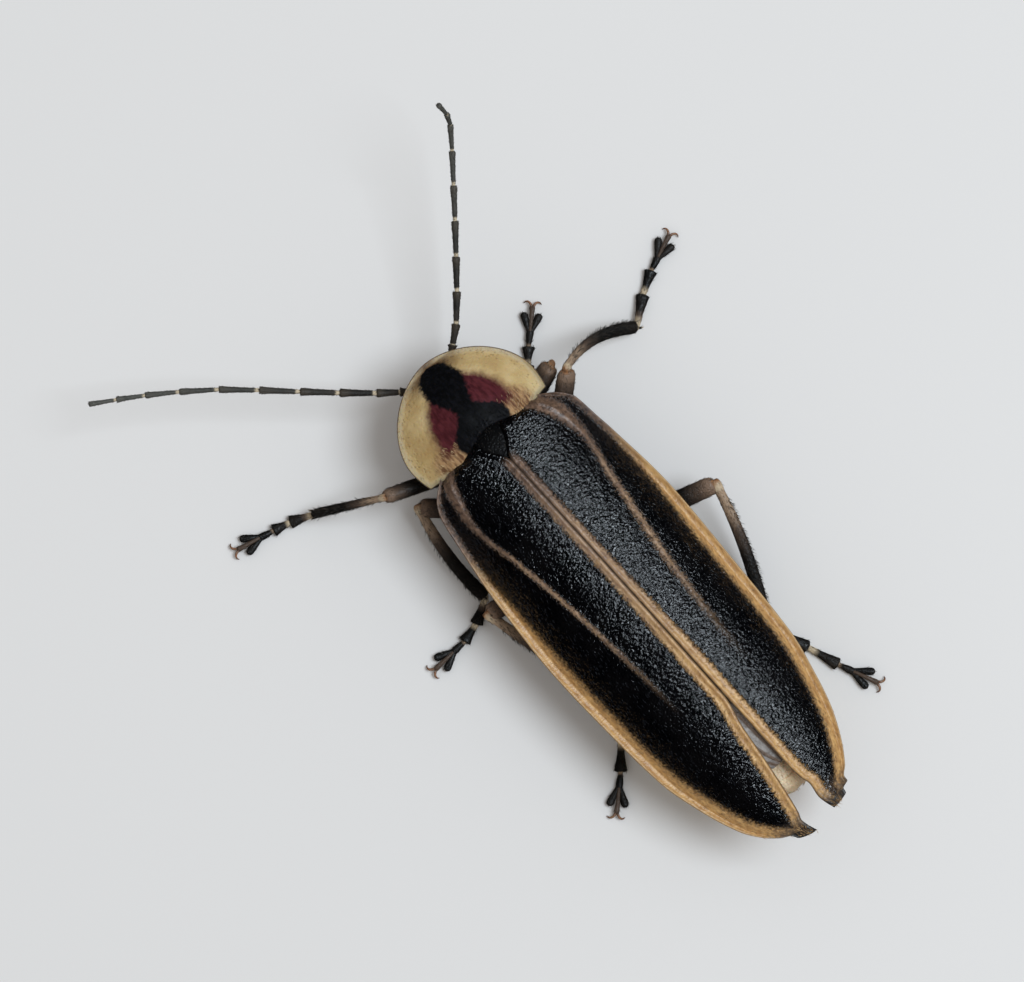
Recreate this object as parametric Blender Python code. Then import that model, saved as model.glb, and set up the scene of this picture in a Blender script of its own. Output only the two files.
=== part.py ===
"""A firefly, life size, standing on its six feet with its wing cases almost closed.

The beetle is drawn in millimetres: X towards its left side, Y from head to tail, Z up from the
floor. The drawing starts on the middle line, at the hind corners of the neck shield. At the end
every mesh is brought to metres, and the origin to the floor under the middle of the whole body.
"""
from bisect import bisect_right
from math import acos, cos, exp, pi, radians, sin, tan

import bmesh
import bpy
from mathutils import Matrix, Vector

MM = 0.001                 # metres in a millimetre
GAP = 0.2                  # space left between two body parts that meet
BENT_GAP = 0.28            # the same at a knee or ankle, where it is a wedge

# Neck shield (pronotum): half an ellipse seen from above, a dome with a flat rim.
SHIELD_HALF_WIDTH = 2.0
SHIELD_CORNER_HALF_WIDTH = 1.91
SHIELD_FRONT = -2.41
SHIELD_WIDEST = -0.6       # Y of the widest place
SHIELD_POINTEDNESS = 1.8   # 2 would be a true ellipse
SHIELD_RIM_Z = 2.38
SHIELD_DOME = 0.97         # height of the dome above the rim
SHIELD_THICKNESS = 0.44
SHIELD_DOME_HALF_WIDTH = 1.74
SHIELD_DOME_START = -0.55  # in front of this place the dome falls towards the front rim
SHIELD_DOME_REACH = 1.62
SHIELD_DOME_ROUNDNESS = 0.85
SHIELD_RIM_LIFT = 0.06
SHIELD_RIM_WIDTH = 0.12
SHIELD_COLUMNS = (0.0, 0.13, 0.3, 0.48, 0.65, 0.8, 0.9, 0.96, 1.0)
SHIELD_ROWS = (-2.406, -2.38, -2.31, -2.2, -2.04, -1.84, -1.58, -1.28, -0.95, -0.62, -0.36, -0.14, 0.0)

# Wing cases (elytra): Y of the base and outline, half widths as (Y, X) pairs.
CASE_BASE = 0.33
CASE_THICKNESS = 0.42
CASE_OUTER_LEFT = [(0.33, 1.98), (0.72, 2.21), (1.55, 2.35), (3.2, 2.57), (5.6, 2.72), (7.8, 2.65),
                   (9.15, 2.55), (10.32, 2.28), (11.36, 1.88), (12.17, 1.28), (12.40, 0.92), (12.60, 0.62)]
CASE_INNER_LEFT = [(0.33, 0.52), (0.6, 0.30), (0.85, 0.13), (8.6, 0.13), (9.44, 0.25), (10.9, 0.42),
                   (12.17, 0.62), (12.60, 0.50)]
CASE_OUTER_RIGHT = [(0.33, 1.98), (0.93, 2.38), (1.86, 2.41), (3.86, 2.56), (6.5, 2.46), (8.55, 2.33),
                    (9.75, 2.08), (10.54, 1.85), (11.3, 1.52), (11.9, 1.14), (12.25, 0.80), (12.42, 0.52)]
CASE_INNER_RIGHT = [(0.33, 0.46), (0.6, 0.24), (0.85, 0.07), (11.3, 0.07), (11.9, 0.16), (12.42, 0.16)]
CASE_RIDGE_Z = [(0.33, 3.22), (0.7, 3.38), (1.6, 3.50), (4.0, 3.58), (7.0, 3.55), (9.0, 3.37),
                (10.5, 3.08), (11.5, 2.78), (12.6, 2.38)]
CASE_RIM_Z = [(0.33, 2.74), (1.2, 2.46), (3.0, 2.26), (7.0, 2.20), (10.0, 2.14), (12.6, 2.14)]
CASE_STRIPE = [(0.33, 0.74), (1.2, 0.78), (3.0, 0.59), (5.5, 0.45), (7.6, 0.42), (12.6, 0.42)]
CASE_BEAD = 0.05           # how far the bead along the seam and the stripe stand up
CASE_RIM_LIFT = 0.05
CASE_RIM_SHARE = 0.93      # the arch ends here, and the flat rim begins
CASE_ARCH_FULLNESS = 2.3
CASE_THINNING = [(0.33, 0.72), (0.93, 1.0), (11.53, 1.0), (12.93, 0.6)]
CASE_STRIPE_FADE = (6.0, 8.0)
CASE_ROWS = 26
CASE_FIRST_ROW = 0.06      # share of the half turn that sets how close the rows lie at the ends

# Folded flight wings under the cases.
WING_SPAN = (1.2, 11.0)
WING_WIDTH = [(1.2, 0.75), (2.5, 1.33), (7.5, 1.34), (9.5, 1.10), (10.6, 0.72), (11.0, 0.42)]
WING_TOP_Z = [(1.2, 2.83), (4.0, 2.93), (7.0, 2.86), (9.0, 2.64), (10.5, 2.40), (11.0, 2.30)]
WING_THICKNESS = 0.32
WING_DROP = 0.28           # how far the outer edge lies below the middle
WING_FULL_WIDTH = 1.45     # the half width that the drop is measured at
WING_ROWS = 14
WING_COLUMNS = 11
WING_VEINS = {2: 0.03, 5: 0.03, 8: 0.03}

# Trunk: half width, top and underside along Y.
PROTHORAX_STATIONS = ((-0.35, 0.80, 0.52), (-0.25, 1.05, 0.58), (-0.12, 1.12, 0.50), (0.1, 1.02, 0.20))
PROTHORAX_SIDE_Z = 1.95
PROTHORAX_BELLY = 0.6
THORAX_ROWS = (0.3, 0.36, 0.6, 1.0, 1.5, 1.62, 2.2, 2.8, 3.4, 3.84, 3.9)
THORAX_SEAMS = {0.3: 0.05, 1.5: 0.05, 3.9: 0.05}
THORAX_WIDTH = [(0.3, 1.15), (0.8, 1.52), (1.6, 1.65), (3.0, 1.70), (3.9, 1.62)]
THORAX_SIDE_Z = 2.0
THORAX_TOP = 0.24
THORAX_BELLY = 0.65
BELLY_WIDTH = [(4.1, 1.86), (5.0, 2.02), (6.3, 2.05), (7.7, 1.92), (9.0, 1.66), (10.0, 1.32),
               (10.9, 0.86), (11.55, 0.34)]
BELLY_TOP_Z = [(4.1, 2.22), (6.0, 2.24), (8.0, 2.16), (9.5, 1.98), (10.6, 1.78), (11.55, 1.52)]
BELLY_BOTTOM_Z = [(4.1, 1.46), (5.0, 1.20), (6.2, 1.00), (8.5, 0.94), (10.0, 1.02), (11.55, 1.24)]
BELLY_SEGMENTS = {"abdomen": (4.1, 5.0, 5.85, 6.75, 7.7), "lantern": (7.9, 8.8, 9.7),
                  "abdomen_tip": (9.9, 10.6, 11.15, 11.55)}
SEGMENT_STEP = 0.05        # how far each ring of the belly stands over the next
BELLY_SIDE_SHARE = 0.58    # height of the widest place, between underside and top

# Small shield between the wing cases: (Y, half width, top), its underside and its middle line.
SCUTELLUM_STATIONS = ((0.07, 0.31, 3.18), (0.2, 0.24, 3.26), (0.38, 0.13, 3.33), (0.54, 0.04, 3.36))
SCUTELLUM_UNDERSIDE_Z = 2.44
SCUTELLUM_MIDDLE = 0.03
SCUTELLUM_ROUNDING = 0.05

# Head, under the front of the neck shield.
HEAD_CENTRE = Vector((0.0, -1.17, 1.5))
HEAD_HALF_WIDTH = 0.42
SKULL_SLICES = [(-HEAD_HALF_WIDTH, 0.60), (-0.3, 0.64), (0.0, 0.66), (0.3, 0.64), (HEAD_HALF_WIDTH, 0.60)]
MUZZLE_STEPS = ((0, -0.2, -0.1), (0, -0.5, -0.3), (0, -0.68, -0.42), (0, -0.74, -0.46))
MUZZLE_SIZES = (0.36, 0.33, 0.27, 0.2)
EYE_RADIUS = 0.60
EYE_REACH = 1.24           # half the width over both eyes
EYE_SLICES = [(HEAD_HALF_WIDTH + GAP, 0.57), (0.72, EYE_RADIUS), (0.84, 0.59), (0.97, 0.53), (1.09, 0.41),
              (1.19, 0.23), (EYE_REACH, 0.0)]
JAW_WAY = ((0.20, -2.10, 0.95), (0.23, -2.22, 0.93), (0.13, -2.36, 0.92))
JAW_SIZES = (0.09, 0.1, 0.1, 0.09, 0.07, 0.05, 0.02)
PALP_WAY = ((0.52, -1.76, 0.84), (0.64, -1.98, 0.74), (0.66, -2.18, 0.6))
PALP_SIZES = (0.08, 0.1, 0.11, 0.12, 0.14, 0.13, 0.06)

# Feelers: length of each joint of the whip, and its way as seen from above and in height.
WHIP_JOINTS = (0.22, 0.60, 0.91, 0.97, 1.00, 0.99, 0.97, 0.84, 0.71, 0.68)
WHIP_RADIUS = 0.21
WHIP_TIP_RADIUS = 0.13
WHIP_END_RADIUS = 0.06
JOINT_SWELL = ((0.0, 0.78), (0.5, 0.9), (0.92, 1.0))   # share of a joint's length, share of its radius
SCAPE_SIZES = ((0.0, 0.12), (0.2, 0.15), (0.6, 0.17), (1.0, 0.14))
SCAPE = {"left": ((0.27, -1.96, 1.73), (0.58, -2.14, 1.57)),
         "right": ((-0.30, -1.96, 1.73), (-0.74, -2.17, 1.57))}
WHIP_WAY = {"left": ((0.78, -2.30, 1.57), (1.35, -2.79, 1.70), (2.71, -4.05, 1.84), (4.15, -5.40, 1.96),
                     (5.59, -6.48, 2.08), (6.76, -7.22, 2.20)),
            "right": ((-0.96, -2.31, 1.57), (-1.45, -2.75, 1.73), (-2.69, -4.17, 2.18), (-3.95, -5.70, 2.75),
                      (-4.40, -6.28, 3.20), (-4.47, -6.48, 3.80), (-4.41, -6.80, 4.45))}

# Legs: hip, knee, ankle, ends of the first two foot joints, tip of the claws; and how far the
# thigh and the shin bow away from a straight line at their middle.
LEGS = {
    "fore_left": ((0.50, 0.26, 0.88), (2.86, -0.66, 1.72), (4.36, -1.60, 0.34), (4.90, -1.84, 0.2),
                  (5.35, -1.97, 0.2), (6.51, -2.25, 0.2)),
    "fore_right": ((-0.50, 0.26, 0.85), (-2.44, -0.35, 1.52), (-1.66, -0.42, 0.34), (-2.15, -0.80, 0.2),
                   (-2.46, -1.12, 0.2), (-3.35, -1.93, 0.2)),
    "mid_left": ((0.55, 1.80, 0.85), (2.33, 0.09, 1.08), (2.56, 2.82, 0.34), (3.15, 3.15, 0.2),
                 (3.67, 3.28, 0.2), (4.85, 3.32, 0.2)),
    "mid_right": ((-0.55, 1.80, 0.85), (-2.62, 0.04, 2.00), (-4.80, 0.33, 0.34), (-5.48, -0.17, 0.2),
                  (-6.04, -0.49, 0.2), (-7.14, -0.91, 0.2)),
    "hind_left": ((0.62, 3.62, 0.85), (2.86, 3.21, 1.32), (1.80, 6.80, 0.34), (2.40, 7.69, 0.2),
                  (2.96, 8.30, 0.2), (3.87, 9.12, 0.2)),
    "hind_right": ((-0.62, 3.62, 0.85), (-3.49, 4.58, 1.50), (-2.16, 8.06, 0.34), (-2.60, 9.14, 0.2),
                   (-2.87, 9.96, 0.2), (-3.37, 11.14, 0.2)),
}
THIGH_BOW = {"mid_right": (0.0, 0.0, -0.14), "hind_right": (0.0, 0.0, -0.10)}
SHIN_BOW = {"mid_right": (0.0, -0.16, 0.05), "hind_right": (-0.12, 0.0, 0.05),
            "mid_left": (-0.05, 0.0, 0.0), "hind_left": (0.06, 0.0, 0.0)}
KNEE_BEND = 0.33           # radius of the bend in a leg's middle line
ANKLE_BEND = 0.32
HIP_LENGTH = 0.40          # from the hip's middle to the face that the thigh meets
HIP_SIZES = ((-0.30, 0.10), (-0.22, 0.20), (0.0, 0.28), (0.22, 0.27), (HIP_LENGTH, 0.20))
THIGH_RINGS = (0.0, 0.06, 0.2, 0.42, 0.64, 0.8, 0.88, 0.94, 1.0)
SHIN_RINGS = (0.0, 0.04, 0.09, 0.15, 0.32, 0.55, 0.78, 0.9, 0.95, 1.0)
THIGH_RADIUS = [(0.0, 0.18), (0.15, 0.24), (0.5, 0.26), (0.8, 0.22), (1.0, 0.17)]
SHIN_RADIUS = [(0.0, 0.16), (0.15, 0.19), (0.6, 0.22), (0.9, 0.23), (1.0, 0.18)]
LEG_SIDES = 8

# Foot: how far each of its outer joints reaches, as shares of the way from the second to the claw tips.
THIRD_JOINT_END = 0.26
FOURTH_JOINT_END = 0.42
CLAW_BASE = 0.78
CLAW_ROOT_LENGTH = 0.06
FOOT_SIZES = (0.13, 0.17, 0.20, 0.14, 0.19, 0.13, 0.19, 0.10, 0.09, 0.05)
LOBE_START = 0.12
LOBE_REACH = 0.60
LOBE_SPLAY = 0.36
LOBE_Z = 0.12
LOBE_SIZES = ((0.0, 0.08), (0.35, 0.11), (0.7, 0.15), (0.93, 0.12), (1.0, 0.05))
CLAW_SPREAD = 0.17
CLAW_Z = 0.2
CLAW_FALL = 0.12
CLAW_SIZES = (0.06, 0.055, 0.045, 0.035, 0.02)

COLOURS = {
    "shield": (0.62, 0.48, 0.27, 1.0), "case": (0.012, 0.011, 0.012, 1.0), "wing": (0.16, 0.15, 0.14, 1.0),
    "shell": (0.045, 0.032, 0.024, 1.0), "lantern": (0.72, 0.66, 0.42, 1.0), "eye": (0.01, 0.01, 0.012, 1.0),
    "leg": (0.13, 0.09, 0.06, 1.0), "foot": (0.03, 0.024, 0.02, 1.0), "feeler": (0.05, 0.04, 0.033, 1.0),
}
ROUGHNESS = {"shield": 0.4, "case": 0.45, "wing": 0.5, "shell": 0.4, "lantern": 0.5, "eye": 0.2,
             "leg": 0.4, "foot": 0.5, "feeler": 0.5}


def clear_scene():
    for old in list(bpy.data.objects):
        bpy.data.objects.remove(old)


def eased(stations, place):
    """Value at a place, led smoothly and without overshoot through (place, value) pairs."""
    places = [station[0] for station in stations]
    values = [station[1] for station in stations]
    if place <= places[0]:
        return values[0]
    if place >= places[-1]:
        return values[-1]
    rises = [(values[k + 1] - values[k]) / (places[k + 1] - places[k]) for k in range(len(places) - 1)]

    def slope(k):
        if k == 0 or k == len(rises):
            return rises[min(k, len(rises) - 1)]
        if rises[k - 1] * rises[k] <= 0:
            return 0.0
        return 2 * rises[k - 1] * rises[k] / (rises[k - 1] + rises[k])

    k = bisect_right(places, place) - 1
    step = places[k + 1] - places[k]
    t = (place - places[k]) / step
    return (values[k] * (1 + 2 * t) * (1 - t) ** 2 + values[k + 1] * t * t * (3 - 2 * t)
            + step * (slope(k) * t * (1 - t) ** 2 - slope(k + 1) * t * t * (1 - t)))


def spread(first, last, count):
    return [first + (last - first) * k / (count - 1) for k in range(count)]


def body_from_rings(name, rings):
    """One closed body through a row of rings. A ring of one point is a tip."""
    mesh = bpy.data.meshes.new(name)
    shape = bmesh.new()
    loops = [[shape.verts.new(point) for point in ring] for ring in rings]
    for near, far in zip(loops, loops[1:]):
        count = max(len(near), len(far))
        for k in range(count):
            after = (k + 1) % count
            if len(far) == 1:
                shape.faces.new((near[k], near[after], far[0]))
            elif len(near) == 1:
                shape.faces.new((near[0], far[after], far[k]))
            else:
                shape.faces.new((near[k], near[after], far[after]))
                shape.faces.new((near[k], far[after], far[k]))
    if len(loops[0]) > 1:
        shape.faces.new(list(reversed(loops[0])))
    if len(loops[-1]) > 1:
        shape.faces.new(loops[-1])
    bmesh.ops.triangulate(shape, faces=[face for face in shape.faces if len(face.verts) > 4])
    bmesh.ops.recalc_face_normals(shape, faces=shape.faces)
    if shape.calc_volume(signed=True) < 0:
        bmesh.ops.reverse_faces(shape, faces=shape.faces)
    shape.to_mesh(mesh)
    shape.free()
    body = bpy.data.objects.new(name, mesh)
    bpy.context.scene.collection.objects.link(body)
    return body


def material(kind):
    name = kind + "_finish"
    if name in bpy.data.materials:
        return bpy.data.materials[name]
    finish = bpy.data.materials.new(name)
    finish.use_nodes = True
    shader = finish.node_tree.nodes["Principled BSDF"]
    shader.inputs["Base Color"].default_value = COLOURS[kind]
    shader.inputs["Roughness"].default_value = ROUGHNESS[kind]
    shader.inputs["Metallic"].default_value = 0.0
    return finish


def dress(body, kind):
    body.data.materials.clear()
    body.data.materials.append(material(kind))
    body.data.shade_smooth()
    body.data.set_sharp_from_angle(angle=radians(40))
    return body


def largest_surface(body):
    """Keeps the largest closed surface of a mesh."""
    shape = bmesh.new()
    shape.from_mesh(body.data)
    unseen = set(shape.verts)
    groups = []
    while unseen:
        queue = [unseen.pop()]
        group = set(queue)
        while queue:
            for edge in queue.pop().link_edges:
                for vert in edge.verts:
                    if vert in unseen:
                        unseen.remove(vert)
                        group.add(vert)
                        queue.append(vert)
        groups.append(group)
    groups.sort(key=len, reverse=True)
    for group in groups[1:]:
        bmesh.ops.delete(shape, geom=list(group), context="VERTS")
    shape.to_mesh(body.data)
    shape.free()


def fuse(body, pieces):
    """Joins closed pieces to a body by one union and removes them."""
    group = bpy.data.collections.new(body.name + "_pieces")
    for piece in pieces:
        group.objects.link(piece)
    union = body.modifiers.new("union", "BOOLEAN")
    union.operation = "UNION"
    union.operand_type = "COLLECTION"
    union.collection = group
    union.solver = "MANIFOLD"
    seen = body.evaluated_get(bpy.context.evaluated_depsgraph_get())
    joined = bpy.data.meshes.new_from_object(seen)
    body.modifiers.remove(union)
    body.data = joined
    for piece in pieces:
        bpy.data.objects.remove(piece)
    bpy.data.collections.remove(group)
    largest_surface(body)
    return body


def tube(name, way, sizes, sides=LEG_SIDES, flatness=1.0, on_floor=False, leads=None):
    """A round body along a way of points; sizes are its half widths, flatness its height to width."""
    rings = []
    across = None
    for k, point in enumerate(way):
        ahead = leads[k] if leads else (way[min(k + 1, len(way) - 1)] - way[max(k - 1, 0)]).normalized()
        if across is None:
            across = ahead.cross(Vector((0, 0, 1))).normalized()
        across = (across - ahead * across.dot(ahead)).normalized()
        upward = across.cross(ahead)
        ring = []
        for side in range(sides):
            turn = 2 * pi * (side + 0.5) / sides
            spot = point + sizes[k] * (across * cos(turn) + upward * sin(turn) * flatness)
            if on_floor:
                spot.z = max(spot.z, 0.0)
            ring.append(spot)
        rings.append(ring)
    return body_from_rings(name, rings)


def smooth_way(points, per_span=8):
    """Points along a smooth curve through the given ones."""
    points = [Vector(point) for point in points]
    leads = []
    for k in range(len(points)):
        leads.append((points[min(k + 1, len(points) - 1)] - points[max(k - 1, 0)]).normalized())
    way = [points[0]]
    for k in range(len(points) - 1):
        start, end = points[k], points[k + 1]
        reach = (end - start).length / 3
        handle_out, handle_in = start + leads[k] * reach, end - leads[k + 1] * reach
        for n in range(1, per_span + 1):
            t = n / per_span
            way.append(start * (1 - t) ** 3 + handle_out * 3 * t * (1 - t) ** 2
                       + handle_in * 3 * t * t * (1 - t) + end * t ** 3)
    return way


def length_marks(way):
    marks = [0.0]
    for near, far in zip(way, way[1:]):
        marks.append(marks[-1] + (far - near).length)
    return marks


def point_at(way, marks, distance):
    k = min(max(bisect_right(marks, distance) - 1, 0), len(way) - 2)
    share = (distance - marks[k]) / (marks[k + 1] - marks[k])
    return way[k].lerp(way[k + 1], share)


def lead_at(way, marks, distance, reach=0.03):
    return (point_at(way, marks, distance + reach) - point_at(way, marks, distance - reach)).normalized()


def bowed(start, end, bow, count=10):
    """A straight way that bows by a given amount at its middle."""
    bow = Vector(bow)
    return [start.lerp(end, t) + bow * (4 * t * (1 - t)) for t in spread(0.0, 1.0, count)]


def bend(before, corner, after, radius, count=13):
    """An arc whose middle lies on the corner, between the ways from before and to after."""
    inward = (corner - before).normalized()
    outward = (after - corner).normalized()
    half = (pi - acos(max(-1.0, min(1.0, inward.dot(outward))))) / 2
    beyond = (inward - outward).normalized()
    tip = corner + beyond * (radius / sin(half) - radius)
    inward = (tip - before).normalized()
    outward = (after - tip).normalized()
    half = (pi - acos(inward.dot(outward))) / 2
    run = radius / tan(half)
    first, last = tip - inward * run, tip + outward * run
    centre = tip + (outward - inward).normalized() * (radius / sin(half))
    return [centre + radius * (first - centre).slerp(last - centre, t) for t in spread(0.0, 1.0, count)]


def leg_way(hip, knee, ankle, toe, thigh_bow, shin_bow):
    """Middle line of a leg to its first foot joint, with the distances of knee and ankle."""
    at_knee = bend(hip, knee, ankle, KNEE_BEND)
    at_ankle = bend(at_knee[-1], ankle, toe, ANKLE_BEND)
    thigh = bowed(hip, at_knee[0], thigh_bow)
    shin = bowed(at_knee[-1], at_ankle[0], shin_bow)
    way = thigh + at_knee[1:] + shin[1:] + at_ankle[1:] + [toe]
    marks = length_marks(way)
    knee_mark = marks[len(thigh) + len(at_knee) // 2 - 1]
    ankle_mark = marks[len(thigh) + len(at_knee) + len(shin) + len(at_ankle) // 2 - 3]
    return way, marks, knee_mark, ankle_mark


def leg_piece(name, way, marks, start, end, radii, shares):
    places = [start + (end - start) * share for share in shares]
    points = [point_at(way, marks, place) for place in places]
    leads = [lead_at(way, marks, place) for place in places]
    return tube(name, points, [eased(radii, share) for share in shares], leads=leads)


def foot(name, root, way, marks, ankle_mark, toes):
    """Foot: two cone-shaped joints, a short third, the two lobes of the fourth, the fifth and its claws."""
    first_end, second_end, claw_tip = [Vector(toe) for toe in toes]
    heel = point_at(way, marks, ankle_mark + BENT_GAP / 2)
    ahead = (claw_tip - second_end).normalized()
    aside = Vector((-ahead.y, ahead.x, 0.0))
    reach = (claw_tip - second_end).length
    third_end = second_end + ahead * (THIRD_JOINT_END * reach)
    claw_base = second_end + ahead * (CLAW_BASE * reach)
    points = [heel, heel.lerp(first_end, 0.35), heel.lerp(first_end, 0.94), first_end,
              first_end.lerp(second_end, 0.85), second_end, third_end,
              second_end + ahead * (FOURTH_JOINT_END * reach), claw_base,
              claw_base + ahead * CLAW_ROOT_LENGTH]
    body = tube(name, points, FOOT_SIZES, on_floor=True)
    pieces = []
    for side in (-1, 1):
        splay = (ahead + aside * (LOBE_SPLAY * side)).normalized()
        start = second_end + ahead * (LOBE_START * reach)
        lobe = [start + splay * (LOBE_REACH * reach * share) for share, _ in LOBE_SIZES]
        lobe = [Vector((point.x, point.y, LOBE_Z)) for point in lobe]
        lobe_sizes = [size for _, size in LOBE_SIZES]
        pieces.append(tube(name + "_lobe", lobe, lobe_sizes, sides=7, on_floor=True))
        claw = []
        for share in spread(0.0, 1.0, len(CLAW_SIZES)):
            spot = claw_base + ahead * ((1 - CLAW_BASE) * reach * sin(share * pi / 2))
            spot += aside * (side * CLAW_SPREAD * share ** 1.4)
            claw.append(Vector((spot.x, spot.y, CLAW_Z - CLAW_FALL * share)))
        pieces.append(tube(name + "_claw", claw, CLAW_SIZES, sides=6, on_floor=True))
    return dress(fuse(body, pieces), "foot")


def leg(name, points):
    hip, knee, ankle = [Vector(point) for point in points[:3]]
    first_toe = Vector(points[3])
    still = (0.0, 0.0, 0.0)
    way, marks, knee_mark, ankle_mark = leg_way(hip, knee, ankle, first_toe,
                                                THIGH_BOW.get(name, still), SHIN_BOW.get(name, still))
    lead = (point_at(way, marks, 1.0) - hip).normalized()
    hip_line = [hip + lead * place for place, _ in HIP_SIZES]
    dress(tube("leg_" + name + "_coxa", hip_line, [size for _, size in HIP_SIZES]), "shell")
    dress(leg_piece("leg_" + name + "_femur", way, marks, HIP_LENGTH + GAP, knee_mark - BENT_GAP / 2,
                    THIGH_RADIUS, THIGH_RINGS), "leg")
    dress(leg_piece("leg_" + name + "_tibia", way, marks, knee_mark + BENT_GAP / 2, ankle_mark - BENT_GAP / 2,
                    SHIN_RADIUS, SHIN_RINGS), "leg")
    foot("leg_" + name + "_tarsus", hip, way, marks, ankle_mark, points[3:])


def shield_half_width(y):
    if y < SHIELD_WIDEST:
        share = (SHIELD_WIDEST - y) / (SHIELD_WIDEST - SHIELD_FRONT)
        return SHIELD_HALF_WIDTH * (1 - share ** SHIELD_POINTEDNESS) ** (1 / SHIELD_POINTEDNESS)
    narrowing = SHIELD_HALF_WIDTH - SHIELD_CORNER_HALF_WIDTH
    return SHIELD_HALF_WIDTH - narrowing * ((y - SHIELD_WIDEST) / -SHIELD_WIDEST) ** 2


def shield_height(x, y):
    """Top of the neck shield: a dome that runs out to a flat rim on three sides."""
    sideways = (x / SHIELD_DOME_HALF_WIDTH) ** 2
    forward = (max(0.0, SHIELD_DOME_START - y) / SHIELD_DOME_REACH) ** 2
    dome = max(0.0, 1 - sideways - forward) ** SHIELD_DOME_ROUNDNESS
    hind_fall = 0.12 * max(0.0, (y + 0.3) / 0.3) ** 2
    groove = 0.04 * exp(-(x / 0.12) ** 2)
    return SHIELD_RIM_Z + (SHIELD_DOME - hind_fall - groove) * dome


def shield_base(x):
    """Hind edge of the neck shield, which waves: forward in the middle, back beside it."""
    return -0.17 * exp(-(x / 0.5) ** 2) + 0.14 * exp(-((abs(x) - 1.25) / 0.42) ** 2)


def pronotum():
    """Neck shield over the head."""
    columns = [-share for share in reversed(SHIELD_COLUMNS[1:])] + list(SHIELD_COLUMNS)
    rings = []
    for y in SHIELD_ROWS:
        half = shield_half_width(y)
        hind = max(0.0, 1 + y / 0.7) ** 1.5
        front_edge = max(0.0, 1 - (y - SHIELD_FRONT) / SHIELD_RIM_WIDTH)
        top = []
        for share in columns:
            x = half * share
            place = y + hind * shield_base(x)
            edge = max(front_edge, max(0.0, (abs(share) - 0.9) / 0.1))
            top.append(Vector((x, place, shield_height(x, y) + SHIELD_RIM_LIFT * edge)))
        under = [Vector((spot.x, spot.y, spot.z - SHIELD_THICKNESS)) for spot in reversed(top)]
        rings.append(top + under)
    return dress(body_from_rings("pronotum", rings), "shield")


def case_columns(stripe):
    """Places across a wing case, from seam to rim: bead, stripe and rim each have their own lines."""
    return (0.0, 0.055, 0.085, stripe * 0.42, stripe * 0.75, stripe - 0.045, stripe, stripe + 0.045,
            stripe + 0.35 * (CASE_RIM_SHARE - stripe), stripe + 0.7 * (CASE_RIM_SHARE - stripe),
            CASE_RIM_SHARE, (1 + CASE_RIM_SHARE) / 2, 1.0)


def case_section(y, inner, outer):
    stripe = eased(CASE_STRIPE, y)
    ridge, rim = eased(CASE_RIDGE_Z, y), eased(CASE_RIM_Z, y)
    fade_start, fade_end = CASE_STRIPE_FADE
    stripe_fade = max(0.0, min(1.0, (fade_end - y) / (fade_end - fade_start)))
    columns = case_columns(stripe)
    raised = {0: CASE_BEAD, 1: CASE_BEAD, columns.index(stripe): CASE_BEAD * stripe_fade,
              len(columns) - 1: CASE_RIM_LIFT}
    thickness = CASE_THICKNESS * eased(CASE_THINNING, y)
    top, under = [], []
    for k, share in enumerate(columns):
        x = inner + (outer - inner) * share
        arch = (1 - min(1.0, share / CASE_RIM_SHARE) ** CASE_ARCH_FULLNESS) ** 0.9
        height = rim + (ridge - rim) * arch
        top.append((x, height + raised.get(k, 0.0)))
        under.append((x, height - thickness))
    return top + list(reversed(under))


def wing_case(side, inner_line, outer_line):
    """Wing case: an arched, leathery plate with a bead at the seam, a stripe and a flat rim."""
    sign = 1 if side == "left" else -1
    tip = outer_line[-1][0]
    rings = []
    for share in spread(0.0, 1.0, CASE_ROWS):
        turned = 0.5 - 0.5 * cos(pi * (CASE_FIRST_ROW + (1 - CASE_FIRST_ROW) * share))
        first = 0.5 - 0.5 * cos(pi * CASE_FIRST_ROW)
        y = CASE_BASE + (tip - CASE_BASE) * (turned - first) / (1 - first)
        section = case_section(y, eased(inner_line, y), eased(outer_line, y))
        rings.append([Vector((sign * x, y, z)) for x, z in section])
    return dress(body_from_rings("elytron_" + side, rings), "case")


def folded_wing(side):
    """Flight wing, folded lengthwise under its case, with three main veins raised along it."""
    sign = 1 if side == "left" else -1
    rings = []
    for y in spread(WING_SPAN[0], WING_SPAN[1], WING_ROWS):
        width, middle = eased(WING_WIDTH, y), eased(WING_TOP_Z, y)
        top, under = [], []
        for k, share in enumerate(spread(0.0, 1.0, WING_COLUMNS)):
            x = GAP / 2 + (width - GAP / 2) * share
            height = middle - WING_DROP * (x / WING_FULL_WIDTH) ** 2
            top.append(Vector((sign * x, y, height + WING_VEINS.get(k, 0.0))))
            under.append(Vector((sign * x, y, height - WING_THICKNESS)))
        rings.append(top + list(reversed(under)))
    return dress(body_from_rings("hindwing_" + side, rings), "wing")


def scutellum():
    """Small shield between the bases of the wing cases."""
    rings = []
    for y, half, top in SCUTELLUM_STATIONS:
        left, right = SCUTELLUM_MIDDLE + half, SCUTELLUM_MIDDLE - half
        shoulder = top - SCUTELLUM_ROUNDING
        rings.append([Vector((right, y, SCUTELLUM_UNDERSIDE_Z)), Vector((left, y, SCUTELLUM_UNDERSIDE_Z)),
                      Vector((left, y, shoulder)), Vector((SCUTELLUM_MIDDLE, y, top)),
                      Vector((right, y, shoulder))])
    return dress(body_from_rings("scutellum", rings), "shell")


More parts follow.
